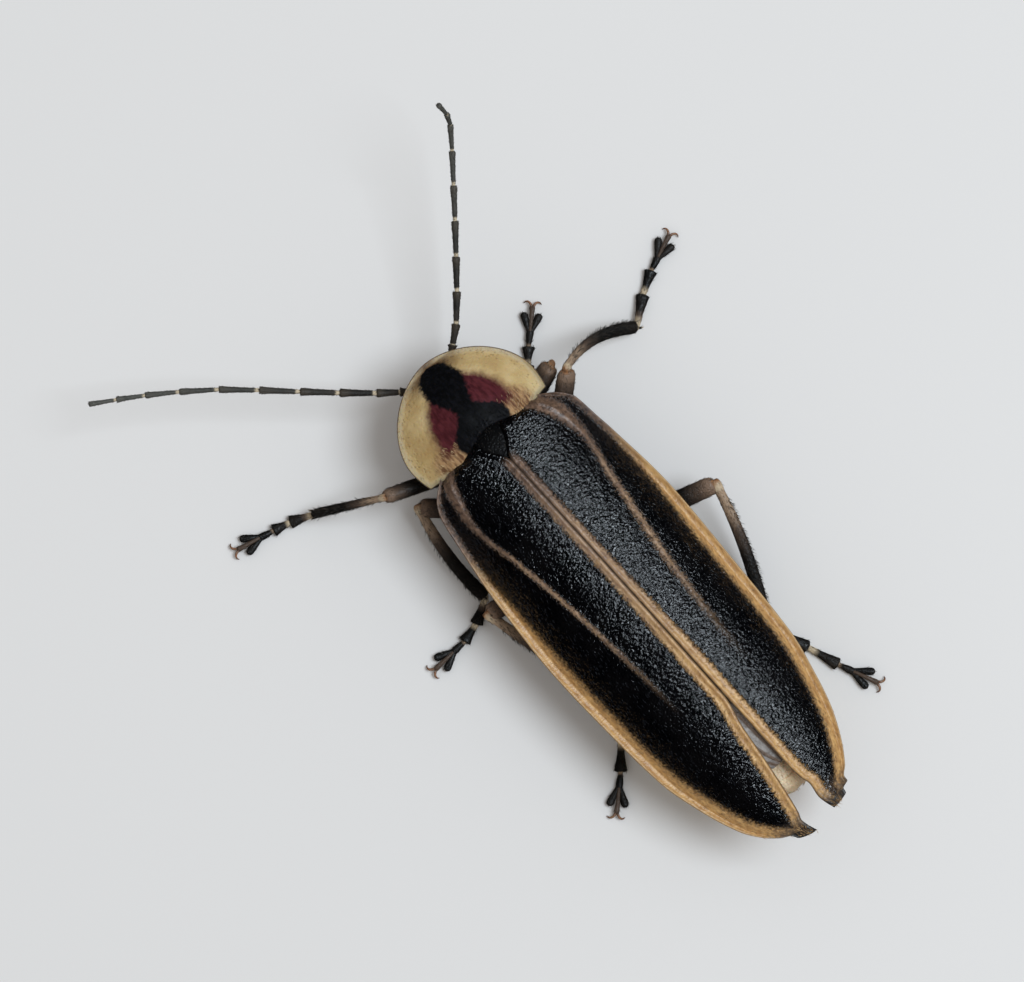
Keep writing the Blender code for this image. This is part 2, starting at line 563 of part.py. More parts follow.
def trunk_ring(y, half, side_z, top, belly, count=20, top_power=0.6, belly_power=1.3):
    """Cross section of the body: a low arch above, a keel shape below."""
    ring = []
    for k in range(count):
        turn = 2 * pi * k / count
        across, upward = cos(turn), sin(turn)
        power = top_power if upward >= 0 else belly_power
        x = half * abs(across) ** power * (1 if across >= 0 else -1)
        z = side_z + top * upward ** 0.8 if upward >= 0 else side_z - belly * (-upward) ** 0.9
        ring.append(Vector((x, y, z)))
    return ring


def prothorax():
    """First body ring, between the head and the trunk, under the hind half of the neck shield."""
    rings = [trunk_ring(y, half, PROTHORAX_SIDE_Z, top, PROTHORAX_BELLY)
             for y, half, top in PROTHORAX_STATIONS]
    return dress(body_from_rings("prothorax", rings), "shell")


def thorax():
    """Trunk that carries the wings and the two hinder pairs of legs."""
    rings = []
    for y in THORAX_ROWS:
        half = eased(THORAX_WIDTH, y)
        waist = THORAX_SEAMS.get(y, 0.0)
        rings.append(trunk_ring(y, half - waist, THORAX_SIDE_Z, THORAX_TOP - waist, THORAX_BELLY - waist))
    return dress(body_from_rings("thorax", rings), "shell")


def belly_part(name, edges, kind):
    """Rings of the belly; each stands a little over the one behind it, like a telescope's tubes."""
    rings = []
    for start, end in zip(edges, edges[1:]):
        for y, lift in ((start, -SEGMENT_STEP), (start + 0.05, -0.01), (end - 0.06, 0.01), (end, 0.0)):
            half = eased(BELLY_WIDTH, y) + lift
            top, bottom = eased(BELLY_TOP_Z, y) + lift, eased(BELLY_BOTTOM_Z, y) - lift
            side_z = bottom + BELLY_SIDE_SHARE * (top - bottom)
            place = y if y != start or start == edges[0] else y + 0.004
            rings.append(trunk_ring(place, half, side_z, top - side_z, side_z - bottom,
                                    top_power=0.75, belly_power=0.8))
    return dress(body_from_rings(name, rings), kind)


def round_body(name, stations, squash=(1.0, 1.0), centre=HEAD_CENTRE, sides=16):
    """A body of round slices across X: each station is a place and a radius."""
    rings = []
    for x, radius in stations:
        ring = []
        for side in range(sides):
            turn = 2 * pi * side / sides
            ring.append(Vector((x, centre.y + radius * squash[0] * cos(turn),
                                centre.z + radius * squash[1] * sin(turn))))
        rings.append(ring if radius > 0.02 else [Vector((x, centre.y, centre.z))])
    return body_from_rings(name, rings)


def head():
    """Head between the eyes, with the muzzle that carries the jaws."""
    skull = round_body("head", SKULL_SLICES, squash=(0.93, 0.9))
    muzzle_way = [HEAD_CENTRE + Vector(step) for step in MUZZLE_STEPS]
    muzzle = tube("muzzle", muzzle_way, MUZZLE_SIZES, sides=12, flatness=0.7)
    return dress(fuse(skull, [muzzle]), "shell")


def eye(side):
    sign = 1 if side == "left" else -1
    slices = [(sign * x, radius) for x, radius in EYE_SLICES]
    body = round_body("eye_" + side, slices, squash=(0.97, 0.95))
    return dress(body, "eye")


def mouth_part(name, sign, way, sizes):
    way = [(sign * x, y, z) for x, y, z in way]
    return dress(tube(name, smooth_way(way, 3), sizes, sides=7), "shell")


def mouth(side):
    sign = 1 if side == "left" else -1
    mouth_part("mandible_" + side, sign, JAW_WAY, JAW_SIZES)
    mouth_part("palp_" + side, sign, PALP_WAY, PALP_SIZES)


def feeler(side):
    """Feeler: its stout first joint at the head, and the whip of ten joints, each wider at its far end."""
    root, end = [Vector(point) for point in SCAPE[side]]
    stem = [root.lerp(end, share) for share, _ in SCAPE_SIZES]
    dress(tube("antenna_" + side + "_scape", stem, [size for _, size in SCAPE_SIZES]), "feeler")
    way = smooth_way(WHIP_WAY[side])
    marks = length_marks(way)
    scale = marks[-1] / sum(WHIP_JOINTS)
    points, sizes = [], []
    distance = 0.0
    for joint in WHIP_JOINTS:
        length = joint * scale
        for share, swell in JOINT_SWELL:
            place = distance + length * share
            points.append(point_at(way, marks, place))
            taper = 1 - place / marks[-1]
            sizes.append(swell * (WHIP_TIP_RADIUS + (WHIP_RADIUS - WHIP_TIP_RADIUS) * taper))
        distance += length
    points.append(way[-1])
    sizes.append(WHIP_END_RADIUS)
    dress(tube("antenna_" + side + "_whip", points, sizes, sides=7), "feeler")


def stand_on_floor(bodies):
    """Brings every mesh to metres, with the origin on the floor under the middle of the whole."""
    spots = [vert.co for body in bodies for vert in body.data.vertices]
    middle_x = (min(spot.x for spot in spots) + max(spot.x for spot in spots)) / 2
    middle_y = (min(spot.y for spot in spots) + max(spot.y for spot in spots)) / 2
    lowest = min(spot.z for spot in spots)
    shift = Matrix.Translation(Vector((-middle_x, -middle_y, -lowest)))
    for body in bodies:
        body.data.transform(Matrix.Scale(MM, 4) @ shift)


def firefly():
    clear_scene()
    pronotum()
    prothorax()
    head()
    for side in ("left", "right"):
        eye(side)
        mouth(side)
        feeler(side)
        folded_wing(side)
    thorax()
    scutellum()
    wing_case("left", CASE_INNER_LEFT, CASE_OUTER_LEFT)
    wing_case("right", CASE_INNER_RIGHT, CASE_OUTER_RIGHT)
    for name, edges in BELLY_SEGMENTS.items():
        belly_part(name, edges, "lantern" if name == "lantern" else "shell")
    for name, points in LEGS.items():
        leg(name, points)
    stand_on_floor([body for body in bpy.context.scene.objects if body.type == "MESH"])


firefly()
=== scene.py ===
# %% [markdown]
# # A firefly, dressed around its solids
# The plain solids give the beetle's shape, pose and size. This lesson gives every one of them its real
# surface: a horn-like neck shield, grained wing cases, jointed feelers, hairy legs. Each piece is drawn in
# millimetres, X towards the animal's left, Y from head to tail, Z up from the floor, with the middle of
# the shield's hind edge as the start of Y. A small helper then brings the points to the frame in metres.

import bmesh
import bpy
import numpy as np
from mathutils import Matrix, Vector


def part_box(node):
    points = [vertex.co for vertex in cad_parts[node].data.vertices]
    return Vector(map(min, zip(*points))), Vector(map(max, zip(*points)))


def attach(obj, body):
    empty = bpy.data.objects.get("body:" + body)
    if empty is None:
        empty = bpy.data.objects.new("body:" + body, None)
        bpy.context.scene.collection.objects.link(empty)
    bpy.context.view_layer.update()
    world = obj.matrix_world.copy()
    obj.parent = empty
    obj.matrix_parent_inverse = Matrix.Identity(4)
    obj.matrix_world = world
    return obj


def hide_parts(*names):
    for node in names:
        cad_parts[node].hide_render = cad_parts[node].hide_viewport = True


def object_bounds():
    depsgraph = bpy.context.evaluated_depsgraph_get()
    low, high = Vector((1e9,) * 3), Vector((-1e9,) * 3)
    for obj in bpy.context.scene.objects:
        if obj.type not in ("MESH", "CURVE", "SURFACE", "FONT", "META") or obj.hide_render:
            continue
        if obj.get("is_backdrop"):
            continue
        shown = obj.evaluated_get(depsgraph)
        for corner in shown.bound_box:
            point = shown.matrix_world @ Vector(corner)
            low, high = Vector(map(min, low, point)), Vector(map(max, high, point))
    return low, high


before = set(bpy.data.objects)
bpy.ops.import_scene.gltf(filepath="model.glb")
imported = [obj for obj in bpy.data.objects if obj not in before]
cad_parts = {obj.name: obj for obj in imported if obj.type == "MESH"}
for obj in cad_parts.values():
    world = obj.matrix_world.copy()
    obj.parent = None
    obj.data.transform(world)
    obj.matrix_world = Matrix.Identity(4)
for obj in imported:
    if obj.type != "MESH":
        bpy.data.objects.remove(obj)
cad_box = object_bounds()
MM = 0.001
UP = (0.0, 0.0, 1.0)
SIDES = {"left": 1, "right": -1}
SHIELD_FRONT_Y = -2.406    # front of the neck shield's solid in the drawing
shield_low, shield_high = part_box("pronotum")
HOME = np.array([(shield_low.x + shield_high.x) / 2, shield_low.y - SHIELD_FRONT_Y * MM, 0.0])
print("drawing starts at", HOME.round(5), "box", [round(side, 4) for side in cad_box[1] - cad_box[0]])

# %% [markdown]
# ## Lines and skins
# Most parts of a beetle are plates and tubes, so most pieces here are grids of points: rings along a leg,
# rows along a wing case. `eased` leads a size smoothly through a few measured places without overshoot.
# `Skin` gathers such grids into one mesh, keeps a flat map of each for its hairs, and stores marks, which
# are numbers that the finishes read, such as the distance from the seam. The marks change smoothly, so a
# finish can cut them into crisp colour edges that are finer than the mesh.

# %% Smooth lines through measured places
def eased(stations, places):
    """Values at places, led through (place, value) pairs without overshoot."""
    x, value = np.array(stations, float).T
    places = np.clip(places, x[0], x[-1])
    step = np.diff(x)
    rise = np.diff(value) / step
    turn = rise[:-1] * rise[1:]
    total = np.where(turn > 0, rise[:-1] + rise[1:], 1.0)
    slope = np.concatenate([rise[:1], np.where(turn > 0, 2 * turn / total, 0.0), rise[-1:]])
    k = np.clip(np.searchsorted(x, places, side="right") - 1, 0, len(x) - 2)
    t = (places - x[k]) / step[k]
    return (value[k] * (1 + 2 * t) * (1 - t) ** 2 + value[k + 1] * t * t * (3 - 2 * t)
            + step[k] * (slope[k] * t * (1 - t) ** 2 - slope[k + 1] * t * t * (1 - t)))


def even(count):
    """Even shares from 0 to 1."""
    return np.linspace(0, 1, count)


def unit(vectors):
    """Vectors of length one."""
    return vectors / np.maximum(np.linalg.norm(vectors, axis=-1, keepdims=True), 1e-9)


def bump_line(distance, width):
    """A soft ridge: 1 on the line, 0 a little beside it."""
    return np.exp(-(distance / width) ** 2)


def smooth_way(points, count):
    """Evenly spaced points along a smooth curve through the given ones."""
    points = np.asarray(points, float)
    ahead = np.vstack([points[1:], points[-1:]]) - np.vstack([points[:1], points[:-1]])
    leads = unit(ahead)
    fine = [points[:1]]
    t = even(25)[1:, None]
    for k in range(len(points) - 1):
        start, end = points[k], points[k + 1]
        reach = np.linalg.norm(end - start) / 3
        out, back = start + leads[k] * reach, end - leads[k + 1] * reach
        fine.append(start * (1 - t) ** 3 + out * 3 * t * (1 - t) ** 2
                    + back * 3 * t * t * (1 - t) + end * t ** 3)
    fine = np.concatenate(fine)
    marks = np.concatenate([[0], np.cumsum(np.linalg.norm(np.diff(fine, axis=0), axis=1))])
    return at_shares(fine, marks, np.linspace(0, marks[-1], count))


def at_shares(way, places, wanted):
    """Points of a way at the wanted shares; places are the shares of its own points."""
    return np.stack([np.interp(wanted, places, way[:, axis]) for axis in range(3)], axis=1)


def ring_tube(way, wide, deep, upright, sides=24, roundness=2.0):
    """Rings along a way: half widths sideways, half depths along the upright direction."""
    lead = unit(np.gradient(way, axis=0))
    side = unit(np.cross(lead, upright))
    above = np.cross(side, lead)
    turn = 2 * np.pi * np.arange(sides) / sides
    cos, sin = np.cos(turn), np.sin(turn)
    across = np.sign(cos) * np.abs(cos) ** (2 / roundness)
    upward = np.sign(sin) * np.abs(sin) ** (2 / roundness)
    wide = np.broadcast_to(wide, len(way))[:, None, None]
    deep = np.broadcast_to(deep, len(way))[:, None, None]
    return (way[:, None] + wide * across[None, :, None] * side[:, None]
            + deep * upward[None, :, None] * above[:, None])


def spread_out(count, ends):
    """Shares from 0 to 1, closer together near both ends."""
    t = even(count)
    return (1 - ends) * t + ends * (0.5 - 0.5 * np.cos(np.pi * t))


# %% Skins of quads with marks
def store(mesh, label, values, kind="FLOAT", domain="POINT"):
    """Stores one number or one direction for every point or corner."""
    field = "value" if kind == "FLOAT" else "vector"
    mesh.attributes.new(label, kind, domain).data.foreach_set(field, np.ravel(values))


class Skin:
    """Grids of points gathered into one mesh, with marks, the lie of the coat and a flat map."""

    def __init__(self, name, marks=()):
        self.name = name
        self.marks = {mark: [] for mark in marks}
        self.points, self.faces, self.places, self.lies = [], [], [], []
        self.count = 0

    def add(self, grid, patch=(0.0, 0.0, 1.0, 1.0), lie=(0.0, 1.0, 0.0), **values):
        """Adds a grid whose rows are closed rings, with a cap over its first and its last ring."""
        rows, columns = grid.shape[:2]
        index = self.count + np.arange(rows * columns).reshape(rows, columns)
        index = np.concatenate([index, index[:, :1]], axis=1)
        low_u, low_v, high_u, high_v = patch
        u = np.linspace(low_u, high_u, index.shape[1])
        v = np.linspace(low_v, high_v, rows)
        place = np.stack(np.meshgrid(u, v), axis=-1)
        for corners, store in ((index, self.faces), (place, self.places)):
            quads = np.stack([corners[:-1, :-1], corners[:-1, 1:], corners[1:, 1:], corners[1:, :-1]], axis=2)
            store.extend(quads.reshape((-1, 4) + corners.shape[2:]).tolist())
        for row in (0, -1):
            self.faces.append(index[row, :columns].tolist())
            self.places.append(place[row, :columns].tolist())
        self.points.append(grid.reshape(-1, 3))
        self.lies.append(np.broadcast_to(lie, grid.shape).reshape(-1, 3))
        for mark, store in self.marks.items():
            store.append(np.broadcast_to(values.get(mark, 0.0), (rows, columns)).ravel())
        self.count += rows * columns

    def mesh(self):
        mesh = bpy.data.meshes.new(self.name)
        points = np.concatenate(self.points) * MM + HOME
        mesh.from_pydata(points.tolist(), [], self.faces)
        for mark, values in self.marks.items():
            store(mesh, mark, np.concatenate(values))
        store(mesh, "lie", np.concatenate(self.lies), "FLOAT_VECTOR")
        flat = mesh.uv_layers.new(name="skin_map")
        flat.data.foreach_set("uv", np.array([corner for face in self.places for corner in face]).ravel())
        shape = bmesh.new()
        shape.from_mesh(mesh)
        bmesh.ops.recalc_face_normals(shape, faces=shape.faces)
        shape.to_mesh(mesh)
        shape.free()
        mesh.shade_smooth()
        return mesh


def show(name, data, finish=None):
    """Puts a mesh, a lamp or a lens in the scene as an object at the origin."""
    if finish is not None:
        data.materials.clear()
        data.materials.append(finish)
    piece = bpy.data.objects.new(name, data)
    bpy.context.scene.collection.objects.link(piece)
    return piece


def fit(piece, slot, *nodes):
    """Hangs a piece on the body and hides the solids that it stands for; the slot is not used."""
    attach(piece, "root")
    if nodes:
        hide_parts(*nodes)
    print(piece.name, len(piece.data.polygons), "faces")
    return piece


# %% [markdown]
# ## Helpers for node trees
# Shader trees and geometry trees are built from the same few calls. `Nodes` places a node, sets its
# sockets and links them in one line, so a tree reads like a recipe. Colours are linear light values.

# %% Node helpers
class Nodes:
    """Short calls for placing nodes in one tree."""

    def __init__(self, tree):
        self.tree = tree

    def node(self, kind, inputs=None, **settings):
        made = self.tree.nodes.new(kind)
        for name, value in settings.items():
            setattr(made, name, value)
        for key, value in (inputs or {}).items():
            if isinstance(value, bpy.types.NodeSocket):
                self.tree.links.new(value, made.inputs[key])
            else:
                made.inputs[key].default_value = value
        return made

    def out(self, kind, inputs=None, socket=0, **settings):
        return self.node(kind, inputs, **settings).outputs[socket]

    def calc(self, operation, a, b=0.0):
        return self.out("ShaderNodeMath", {0: a, 1: b}, operation=operation)

    def times(self, a, b):
        return self.calc("MULTIPLY", a, b)

    def plus(self, a, b):
        return self.calc("ADD", a, b)

    def minus(self, a, b):
        return self.calc("SUBTRACT", a, b)

    def rising(self, base, value, share):
        """The base, raised by a share of the value."""
        return self.plus(base, self.times(value, share))

    def between(self, value, low, high):
        """0 below the low value, 1 above the high one, smooth in between."""
        return self.out("ShaderNodeMapRange", {"Value": value, "From Min": low, "From Max": high},
                        interpolation_type="SMOOTHSTEP")

    def vector(self, operation, a, b=(0.0, 0.0, 0.0), socket=0, scale=None):
        inputs = {0: a, 1: b}
        if scale is not None:
            inputs["Scale"] = scale
        return self.out("ShaderNodeVectorMath", inputs, socket=socket, operation=operation)


class Finish(Nodes):
    """A material's own tree, with the texture calls that the surfaces of the beetle need."""

    def __init__(self, name, **constants):
        self.material = bpy.data.materials.new(name)
        self.material.use_nodes = True
        super().__init__(self.material.node_tree)
        self.shader = self.tree.nodes["Principled BSDF"]
        for socket, value in constants.items():
            self.shader.inputs[socket.replace("_", " ").title().replace("Ior", "IOR")].default_value = value

    def places(self, stretch=(1.0, 1.0, 1.0)):
        """Object coordinates in millimetres."""
        where = self.out("ShaderNodeTexCoord", socket="Object")
        return self.out("ShaderNodeMapping", {"Vector": where, "Scale": [side / MM for side in stretch]})

    def surface(self, colour, smooth, uneven, share, **links):
        """Links the colour, a roughness that rises with an uneven value, and more; gives the material."""
        links.update(base_color=colour, roughness=self.rising(smooth, uneven, share))
        for socket, value in links.items():
            self.tree.links.new(value, self.shader.inputs[socket.replace("_", " ").title()])
        return self.material


def mark(nodes, name):
    return nodes.out("ShaderNodeAttribute", socket="Fac", attribute_name=name)


def object_mm(nodes):
    """Object coordinates in millimetres, for a group."""
    return nodes.vector("SCALE", nodes.out("ShaderNodeTexCoord", socket="Object"), scale=1 / MM)


def noise(nodes, where, scale, detail=2.0, roughness=0.5):
    return nodes.out("ShaderNodeTexNoise", {"Vector": where, "Scale": scale, "Detail": detail,
                                           "Roughness": roughness})


def fray_of(nodes, where, scale, detail, reach, roughness=0.5):
    """Noise round zero; added to a mark, it frays the colour edges that are cut from the mark."""
    return nodes.times(nodes.minus(noise(nodes, where, scale, detail, roughness), 0.5), reach)


def blend(nodes, share, first, second):
    """Mix of two colours."""
    return nodes.out("ShaderNodeMix", {0: share, 6: first, 7: second}, socket=2, data_type="RGBA")


def tint(red, green, blue):
    return (red, green, blue, 1.0)


def ramp(nodes, value, stops):
    """Colour ramp through (place, colour) stops."""
    made = nodes.node("ShaderNodeValToRGB", {"Fac": value})
    band = made.color_ramp
    while len(band.elements) < len(stops):
        band.elements.new(0.5)
    for element, (place, colour) in zip(band.elements, stops):
        element.position = place
        element.color = colour
    return made.outputs["Color"]


# %% [markdown]
# ## Grain that all the horny skin shares
# A beetle's skin is horn with fine pits, wrinkles and a slightly uneven brown. Every finish needs that, at
# its own scale, so it is one shader group. It puts out a height for the Bump node and a mottle for the
# colour. The Principled shader itself stays in each material.

# %% Shader group: horn grain
def new_group(name, inputs, outputs):
    group = bpy.data.node_groups.new(name, "ShaderNodeTree")
    for label, value in inputs.items():
        group.interface.new_socket(label, in_out="INPUT", socket_type="NodeSocketFloat").default_value = value
    for label in outputs:
        group.interface.new_socket(label, in_out="OUTPUT", socket_type="NodeSocketFloat")
    nodes = Nodes(group)
    return group, nodes, nodes.node("NodeGroupInput").outputs, nodes.node("NodeGroupOutput").inputs


def horn_grain_group():
    """Pits and wrinkles: sizes are in grains per millimetre."""
    group, nodes, given, result = new_group("horn grain", {"Pits Per Mm": 12.0, "Wrinkles Per Mm": 6.0,
                                                           "Pit Share": 0.5}, ("Height", "Mottle"))
    where = object_mm(nodes)
    pit = nodes.out("ShaderNodeTexVoronoi", {"Vector": where, "Scale": given["Pits Per Mm"],
                                            "Smoothness": 0.6}, feature="SMOOTH_F1")
    wrinkle = nodes.out("ShaderNodeTexNoise", {"Vector": where, "Scale": given["Wrinkles Per Mm"],
                                              "Detail": 4.0, "Distortion": 0.6})
    pits = nodes.times(nodes.between(pit, 0.1, 0.55), given["Pit Share"])
    nodes.tree.links.new(nodes.plus(pits, wrinkle), result["Height"])
    cloud = noise(nodes, where, 1.6, 5.0)
    nodes.tree.links.new(nodes.between(cloud, 0.35, 0.68), result["Mottle"])
    return group


HORN_GRAIN = horn_grain_group()


def grain(nodes, pits, wrinkles, pit_share=0.5):
    """Places the horn grain with its own sizes; returns height and mottle."""
    made = nodes.node("ShaderNodeGroup", node_tree=HORN_GRAIN)
    for label, value in zip(("Pits Per Mm", "Wrinkles Per Mm", "Pit Share"), (pits, wrinkles, pit_share)):
        made.inputs[label].default_value = value
    return made.outputs["Height"], made.outputs["Mottle"]


def bump(nodes, height, depth):
    """Normal from a height; depth is in millimetres."""
    return nodes.out("ShaderNodeBump", {"Height": height, "Distance": depth * MM})


print("grain group has", len(HORN_GRAIN.nodes), "nodes")

# %% [markdown]
# ## Running geometry trees
# Geometry Nodes make what repeats: joints of a feeler, facets of an eye, grains of a wing case, hairs. A
# tree is run once on a guide mesh, and its result is taken as a plain mesh, because a finished model
# should hold real faces and no live steps.

# %% Run a geometry tree on a mesh
class Growth(Nodes):
    """A geometry tree's own calls: stored marks, directions, copies and maps."""

    def named(self, label, kind="FLOAT"):
        return self.out("GeometryNodeInputNamedAttribute", {"Name": label}, data_type=kind)

    def turned_to(self, ahead, upright):
        return self.out("FunctionNodeAxesToRotation", {"Primary Axis": ahead, "Secondary Axis": upright},
                        primary_axis="Z", secondary_axis="Y")

    def copies(self, points, thing, rotation, size):
        """A real copy of an object on every point."""
        shape = self.node("GeometryNodeObjectInfo", {"Object": thing}).outputs["Geometry"]
        placed = self.out("GeometryNodeInstanceOnPoints", {"Points": points, "Instance": shape,
                                                          "Rotation": rotation, "Scale": size})
        return self.out("GeometryNodeRealizeInstances", {"Geometry": placed})

    def mapped(self, geometry, name, place):
        """Stores a flat place on every corner, as a map of the given name."""
        return self.out("GeometryNodeStoreNamedAttribute",
                        {"Geometry": geometry, "Name": name, "Value": place},
                        data_type="FLOAT2", domain="CORNER")


def new_tree(name, inputs):
    """A geometry tree with its named inputs; returns it with its group input and output sockets."""
    tree = bpy.data.node_groups.new(name, "GeometryNodeTree")
    for label, kind in inputs:
        tree.interface.new_socket(label, in_out="INPUT", socket_type="NodeSocket" + kind)
    tree.interface.new_socket("Geometry", in_out="OUTPUT", socket_type="NodeSocketGeometry")
    nodes = Growth(tree)
    return tree, nodes, nodes.node("NodeGroupInput").outputs, nodes.node("NodeGroupOutput").inputs[0]


def close_tree(nodes, geometry, finish, result):
    """Every tree ends the same way: real faces, then their finish."""
    real = nodes.out("GeometryNodeRealizeInstances", {"Geometry": geometry})
    nodes.tree.links.new(nodes.out("GeometryNodeSetMaterial", {"Geometry": real, "Material": finish}), result)


def grown(name, mesh, tree, sizes):
    """Runs a tree on a mesh and returns the outcome as a plain mesh."""
    guide = show(name + "_guide", mesh)
    step = guide.modifiers.new("tree", "NODES")
    step.node_group = tree
    sockets = {item.name: item.identifier for item in tree.interface.items_tree
               if item.item_type == "SOCKET" and item.in_out == "INPUT"}
    for label, value in sizes.items():
        step[sockets[label]] = value
    plain = bpy.data.meshes.new_from_object(guide.evaluated_get(bpy.context.evaluated_depsgraph_get()))
    plain.name = name
    bpy.data.objects.remove(guide)
    return plain


# %% [markdown]
# ## One coat tree for every hairy part
# Fireflies wear short, fine hairs that lie backwards. A hair is a thin bent cone of nine triangles. The tree
# scatters roots over a skin, denser where the skin's coat mark says so, turns each hair along the lie
# stored on the skin, lifts it a little, and gives it a random length. Each hair also gets a small patch of
# the map OFBake at its root's place, so that a baked picture keeps its colour.

# %% The hair that is repeated, and its tree
HAIR_PATCH = 0.003         # size of a hair's patch on the map OFBake
HAIR_BEND = 3.5            # how far the tip leans over, in hair thicknesses
HAIR_BEND_HEIGHT = 0.55    # share of the length where the hair bends, and how thick it is there
HAIR_BEND_SIZE = 0.8
SHORTEST_HAIR, LONGEST_HAIR = 0.55, 1.15      # shares of the given length


def hair_template():
    mesh = bpy.data.meshes.new("hair_template")
    turns = [2 * np.pi * side / 3 for side in range(3)]
    corners = [(np.cos(turn), np.sin(turn)) for turn in turns]
    points = [(x, y, 0.0) for x, y in corners]
    points += [(HAIR_BEND_SIZE * x, HAIR_BEND_SIZE * y - 0.3 * HAIR_BEND, HAIR_BEND_HEIGHT)
               for x, y in corners]
    points.append((0.0, -HAIR_BEND, 1.0))
    faces = [(side, (side + 1) % 3, 3 + (side + 1) % 3, 3 + side) for side in range(3)]
    faces += [(3 + side, 3 + (side + 1) % 3, 6) for side in range(3)]
    mesh.from_pydata(points, [], faces)
    patch = [(0.5 + 0.5 * x, 0.5 + 0.5 * y, 0.0) for x, y in corners]
    patch += [(0.5 + 0.22 * x, 0.5 + 0.22 * y, 0.0) for x, y in corners] + [(0.5, 0.5, 0.0)]
    store(mesh, "patch", patch, "FLOAT_VECTOR")
    mesh.shade_smooth()
    return show("hair_template", mesh)


def coat_tree():
    tree, nodes, given, result = new_tree("coat of hair", [
        ("Geometry", "Geometry"), ("Mark", "String"), ("Hair", "Object"), ("Hairs Per Mm2", "Float"),
        ("Length Mm", "Float"), ("Thickness Mm", "Float"), ("Lift", "Float"), ("Scatter", "Float"),
        ("Seed", "Int"), ("Finish", "Material")])
    here = nodes.times(nodes.named(given["Mark"]), given["Hairs Per Mm2"])
    density = nodes.times(here, MM ** -2)
    roots = nodes.node("GeometryNodeDistributePointsOnFaces",
                       {"Mesh": given["Geometry"], "Density": density, "Seed": given["Seed"]})
    normal = roots.outputs["Normal"]
    lie = nodes.named("lie", "FLOAT_VECTOR")
    lean = nodes.vector("SCALE", normal, scale=nodes.vector("DOT_PRODUCT", lie, normal, socket="Value"))
    along = nodes.vector("NORMALIZE", nodes.vector("SUBTRACT", lie, lean))
    raised = nodes.vector("ADD", along, nodes.vector("SCALE", normal, scale=given["Lift"]))
    stray = nodes.out("FunctionNodeRandomValue", {"Min": (-1.0, -1.0, -1.0), "Max": (1.0, 1.0, 1.0),
                                                 "Seed": given["Seed"]}, data_type="FLOAT_VECTOR")
    stray = nodes.vector("SCALE", stray, scale=given["Scatter"])
    turned = nodes.turned_to(nodes.vector("NORMALIZE", nodes.vector("ADD", raised, stray)), normal)
    share = nodes.out("FunctionNodeRandomValue", {2: SHORTEST_HAIR, 3: LONGEST_HAIR,
                                                 "Seed": nodes.plus(given["Seed"], 7)},
                      socket=1, data_type="FLOAT")
    length = nodes.times(nodes.times(share, given["Length Mm"]), MM)
    thick = nodes.times(given["Thickness Mm"], MM / 2)
    size = nodes.out("ShaderNodeCombineXYZ", {"X": thick, "Y": thick, "Z": length})
    real = nodes.copies(roots.outputs["Points"], given["Hair"], turned, size)
    shrunk = nodes.vector("SCALE", nodes.named("patch", "FLOAT_VECTOR"), scale=HAIR_PATCH)
    place = nodes.vector("ADD", nodes.named("skin_map", "FLOAT_VECTOR"), shrunk)
    close_tree(nodes, nodes.mapped(real, "OFBake", place), given["Finish"], result)
    return tree


HAIR = hair_template()
COAT_TREE = coat_tree()


def coat(name, skin, finish, density, length, thickness, lift, seed, scatter=0.2, where="coat"):
    """Grows hairs from a skin's mesh where its mark says so; sizes are in millimetres."""
    plain = grown(name, skin, COAT_TREE, {
        "Mark": where, "Hair": HAIR, "Hairs Per Mm2": density, "Length Mm": length,
        "Thickness Mm": thickness, "Lift": lift, "Scatter": scatter, "Seed": seed, "Finish": finish})
    return show(name, plain)


print("coat tree has", len(COAT_TREE.nodes), "nodes")

# %% [markdown]
# ## Neck shield
# The neck shield is half an ellipse of thin, pale horn that hides the head from above. It has a dome over
# the head, a clear rim with a hair-fine dark edge, a black mark shaped like a vase and two wine-red spots,
# where muscles show through. Its shape follows a rule, so rings from a middle point to the outline give the
# roundest rim, and the same rings turn under to make it a thin shell.

# %% Neck shield: shape
SHIELD_HALF_WIDTH = 2.0
SHIELD_FRONT = -2.41
SHIELD_WIDEST = -0.6
SHIELD_POINTEDNESS = 1.8
SHIELD_CORNER = 1.91
SHIELD_RIM_Z = 2.38
SHIELD_DOME = 0.97
SHIELD_MIDDLE = np.array([0.0, -0.95])
SHIELD_RIM_LIFT = 0.06
DOME_HALF_WIDTH = 1.93
DOME_MIDDLE_Y, DOME_REACH = -0.55, 1.80       # the dome falls forward from this line over this length
DOME_FULLNESS = 1.12
DOME_HIND_FALL, DOME_HIND_REACH = 0.12, 0.3
GROOVE_DEPTH, GROOVE_WIDTH = 0.02, 0.12
HIND_DIP, HIND_DIP_WIDTH = 0.17, 0.5
HIND_LOBE, HIND_LOBE_X, HIND_LOBE_WIDTH = 0.14, 1.25, 0.42
HIND_REACH = 0.7           # how far forward the hind edge's wave is felt
SHIELD_THICKNESS = [(0.0, 0.03), (0.1, 0.06), (0.35, 0.11), (0.9, 0.2), (1.4, 0.24)]


def shield_base(x):
    """Hind edge: forward in the middle, back beside it."""
    lobes = HIND_LOBE * bump_line(np.abs(x) - HIND_LOBE_X, HIND_LOBE_WIDTH)
    return -HIND_DIP * bump_line(x, HIND_DIP_WIDTH) + lobes


def hind_share(y):
    """How much of the hind edge's wave a row follows: all at the edge, none far in front of it."""
    return np.clip(1 + y / HIND_REACH, 0, 1) ** 1.5


